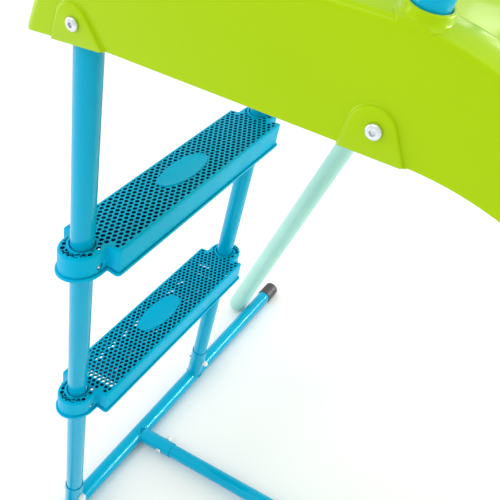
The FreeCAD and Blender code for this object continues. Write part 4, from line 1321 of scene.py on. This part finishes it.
# ---- studio ----------------------------------------------------------------------------------
CAMERA_AT = Vector((BASE_X + 0.6153, -0.5456, 1.0591))
CAMERA_YAW = math.radians(33.38)
CAMERA_PITCH = math.radians(37.99)
CAMERA_ROLL = math.radians(1.32)
CAMERA_LENS = 49.1
WINDOW_PANES = 4
WINDOW_PITCH = 0.5


def make_camera():
    """Camera above the trough, looking down at the ladder."""
    data = bpy.data.cameras.new("camera")
    data.lens = CAMERA_LENS
    data.sensor_width = 36.0
    camera = bpy.data.objects.new("camera", data)
    forward = Vector((-math.sin(CAMERA_YAW) * math.cos(CAMERA_PITCH),
                      math.cos(CAMERA_YAW) * math.cos(CAMERA_PITCH), -math.sin(CAMERA_PITCH)))
    level = Vector((math.cos(CAMERA_YAW), math.sin(CAMERA_YAW), 0.0))
    down = forward.cross(level)
    right = level * math.cos(CAMERA_ROLL) + down * math.sin(CAMERA_ROLL)
    turned = down * math.cos(CAMERA_ROLL) - level * math.sin(CAMERA_ROLL)
    axes = Matrix((right, -turned, -forward)).transposed().to_4x4()
    camera.matrix_world = Matrix.Translation(CAMERA_AT) @ axes
    bpy.context.scene.collection.objects.link(camera)
    bpy.context.scene.camera = camera


def soft_box(name, at, aim, size, radiance, only_reflected=False):
    """Rectangular studio light aimed at a point; only_reflected takes its diffuse light away."""
    data = bpy.data.lights.new(name, "AREA")
    data.shape = "RECTANGLE"
    data.size, data.size_y = size
    data.energy = radiance * math.pi * size[0] * size[1]
    light = bpy.data.objects.new(name, data)
    light.location = at
    light.rotation_mode = "QUATERNION"
    light.rotation_quaternion = (Vector(aim) - Vector(at)).to_track_quat("-Z", "Y")
    light.visible_diffuse = not only_reflected
    bpy.context.scene.collection.objects.link(light)


def make_floor():
    """Plain pale floor."""
    mesh = bpy.data.meshes.new("floor")
    half = 40.0
    corners = [(-half, -half, 0), (half, -half, 0), (half, half, 0), (-half, half, 0)]
    mesh.from_pydata(corners, [], [(0, 1, 2, 3)])
    floor = bpy.data.objects.new("floor", mesh)
    s = Surface("studio_floor")
    s.colour(s.ramp(s.noise(3, 2), [(0.3, 0.94), (0.7, 0.96)]))
    s.roughness(s.noise(20, 2), 0.75, 0.85)
    s.set(Specular_IOR_Level=0.1)
    mesh.materials.append(s.material)
    bpy.context.scene.collection.objects.link(floor)


def make_light():
    """White surroundings, soft boxes, and bright panels that only show as reflections."""
    world = bpy.data.worlds.new("studio")
    world.use_nodes = True
    background = world.node_tree.nodes["Background"]
    background.inputs["Color"].default_value = (1.0, 1.0, 1.0, 1.0)
    background.inputs["Strength"].default_value = 1.0
    bpy.context.scene.world = world
    soft_box("key", (-1.6, -2.2, 3.2), (-0.6, 0, 0.5), (1.6, 1.6), 2.0)
    soft_box("top", (0.2, 0.2, 3.4), (0, 0, 0), (2.0, 2.0), 1.5)
    soft_box("low_panel", (3.2, 1.7, 0.9), (-0.8, 0.0, 0.1), (2.2, 0.6), 16.0)
    soft_box("strip", (1.7, 1.9, 1.35), (-0.85, 1.9, 0.0), (1.9, 0.42), 55.0, True)
    soft_box("left_panel", (-3.9, -1.5, 1.3), (-0.8, 0.0, 0.7), (1.2, 2.6), 2.4)
    for i in range(WINDOW_PANES):
        x = -1.35 + WINDOW_PITCH * i
        soft_box("window_%d" % i, (x, 3.2, 1.9), (x, 0.0, 0.9), (WINDOW_PITCH * 0.62, 0.9), 2.4, True)
    bpy.context.scene.view_settings.view_transform = "Standard"


make_camera()
make_floor()
make_light()
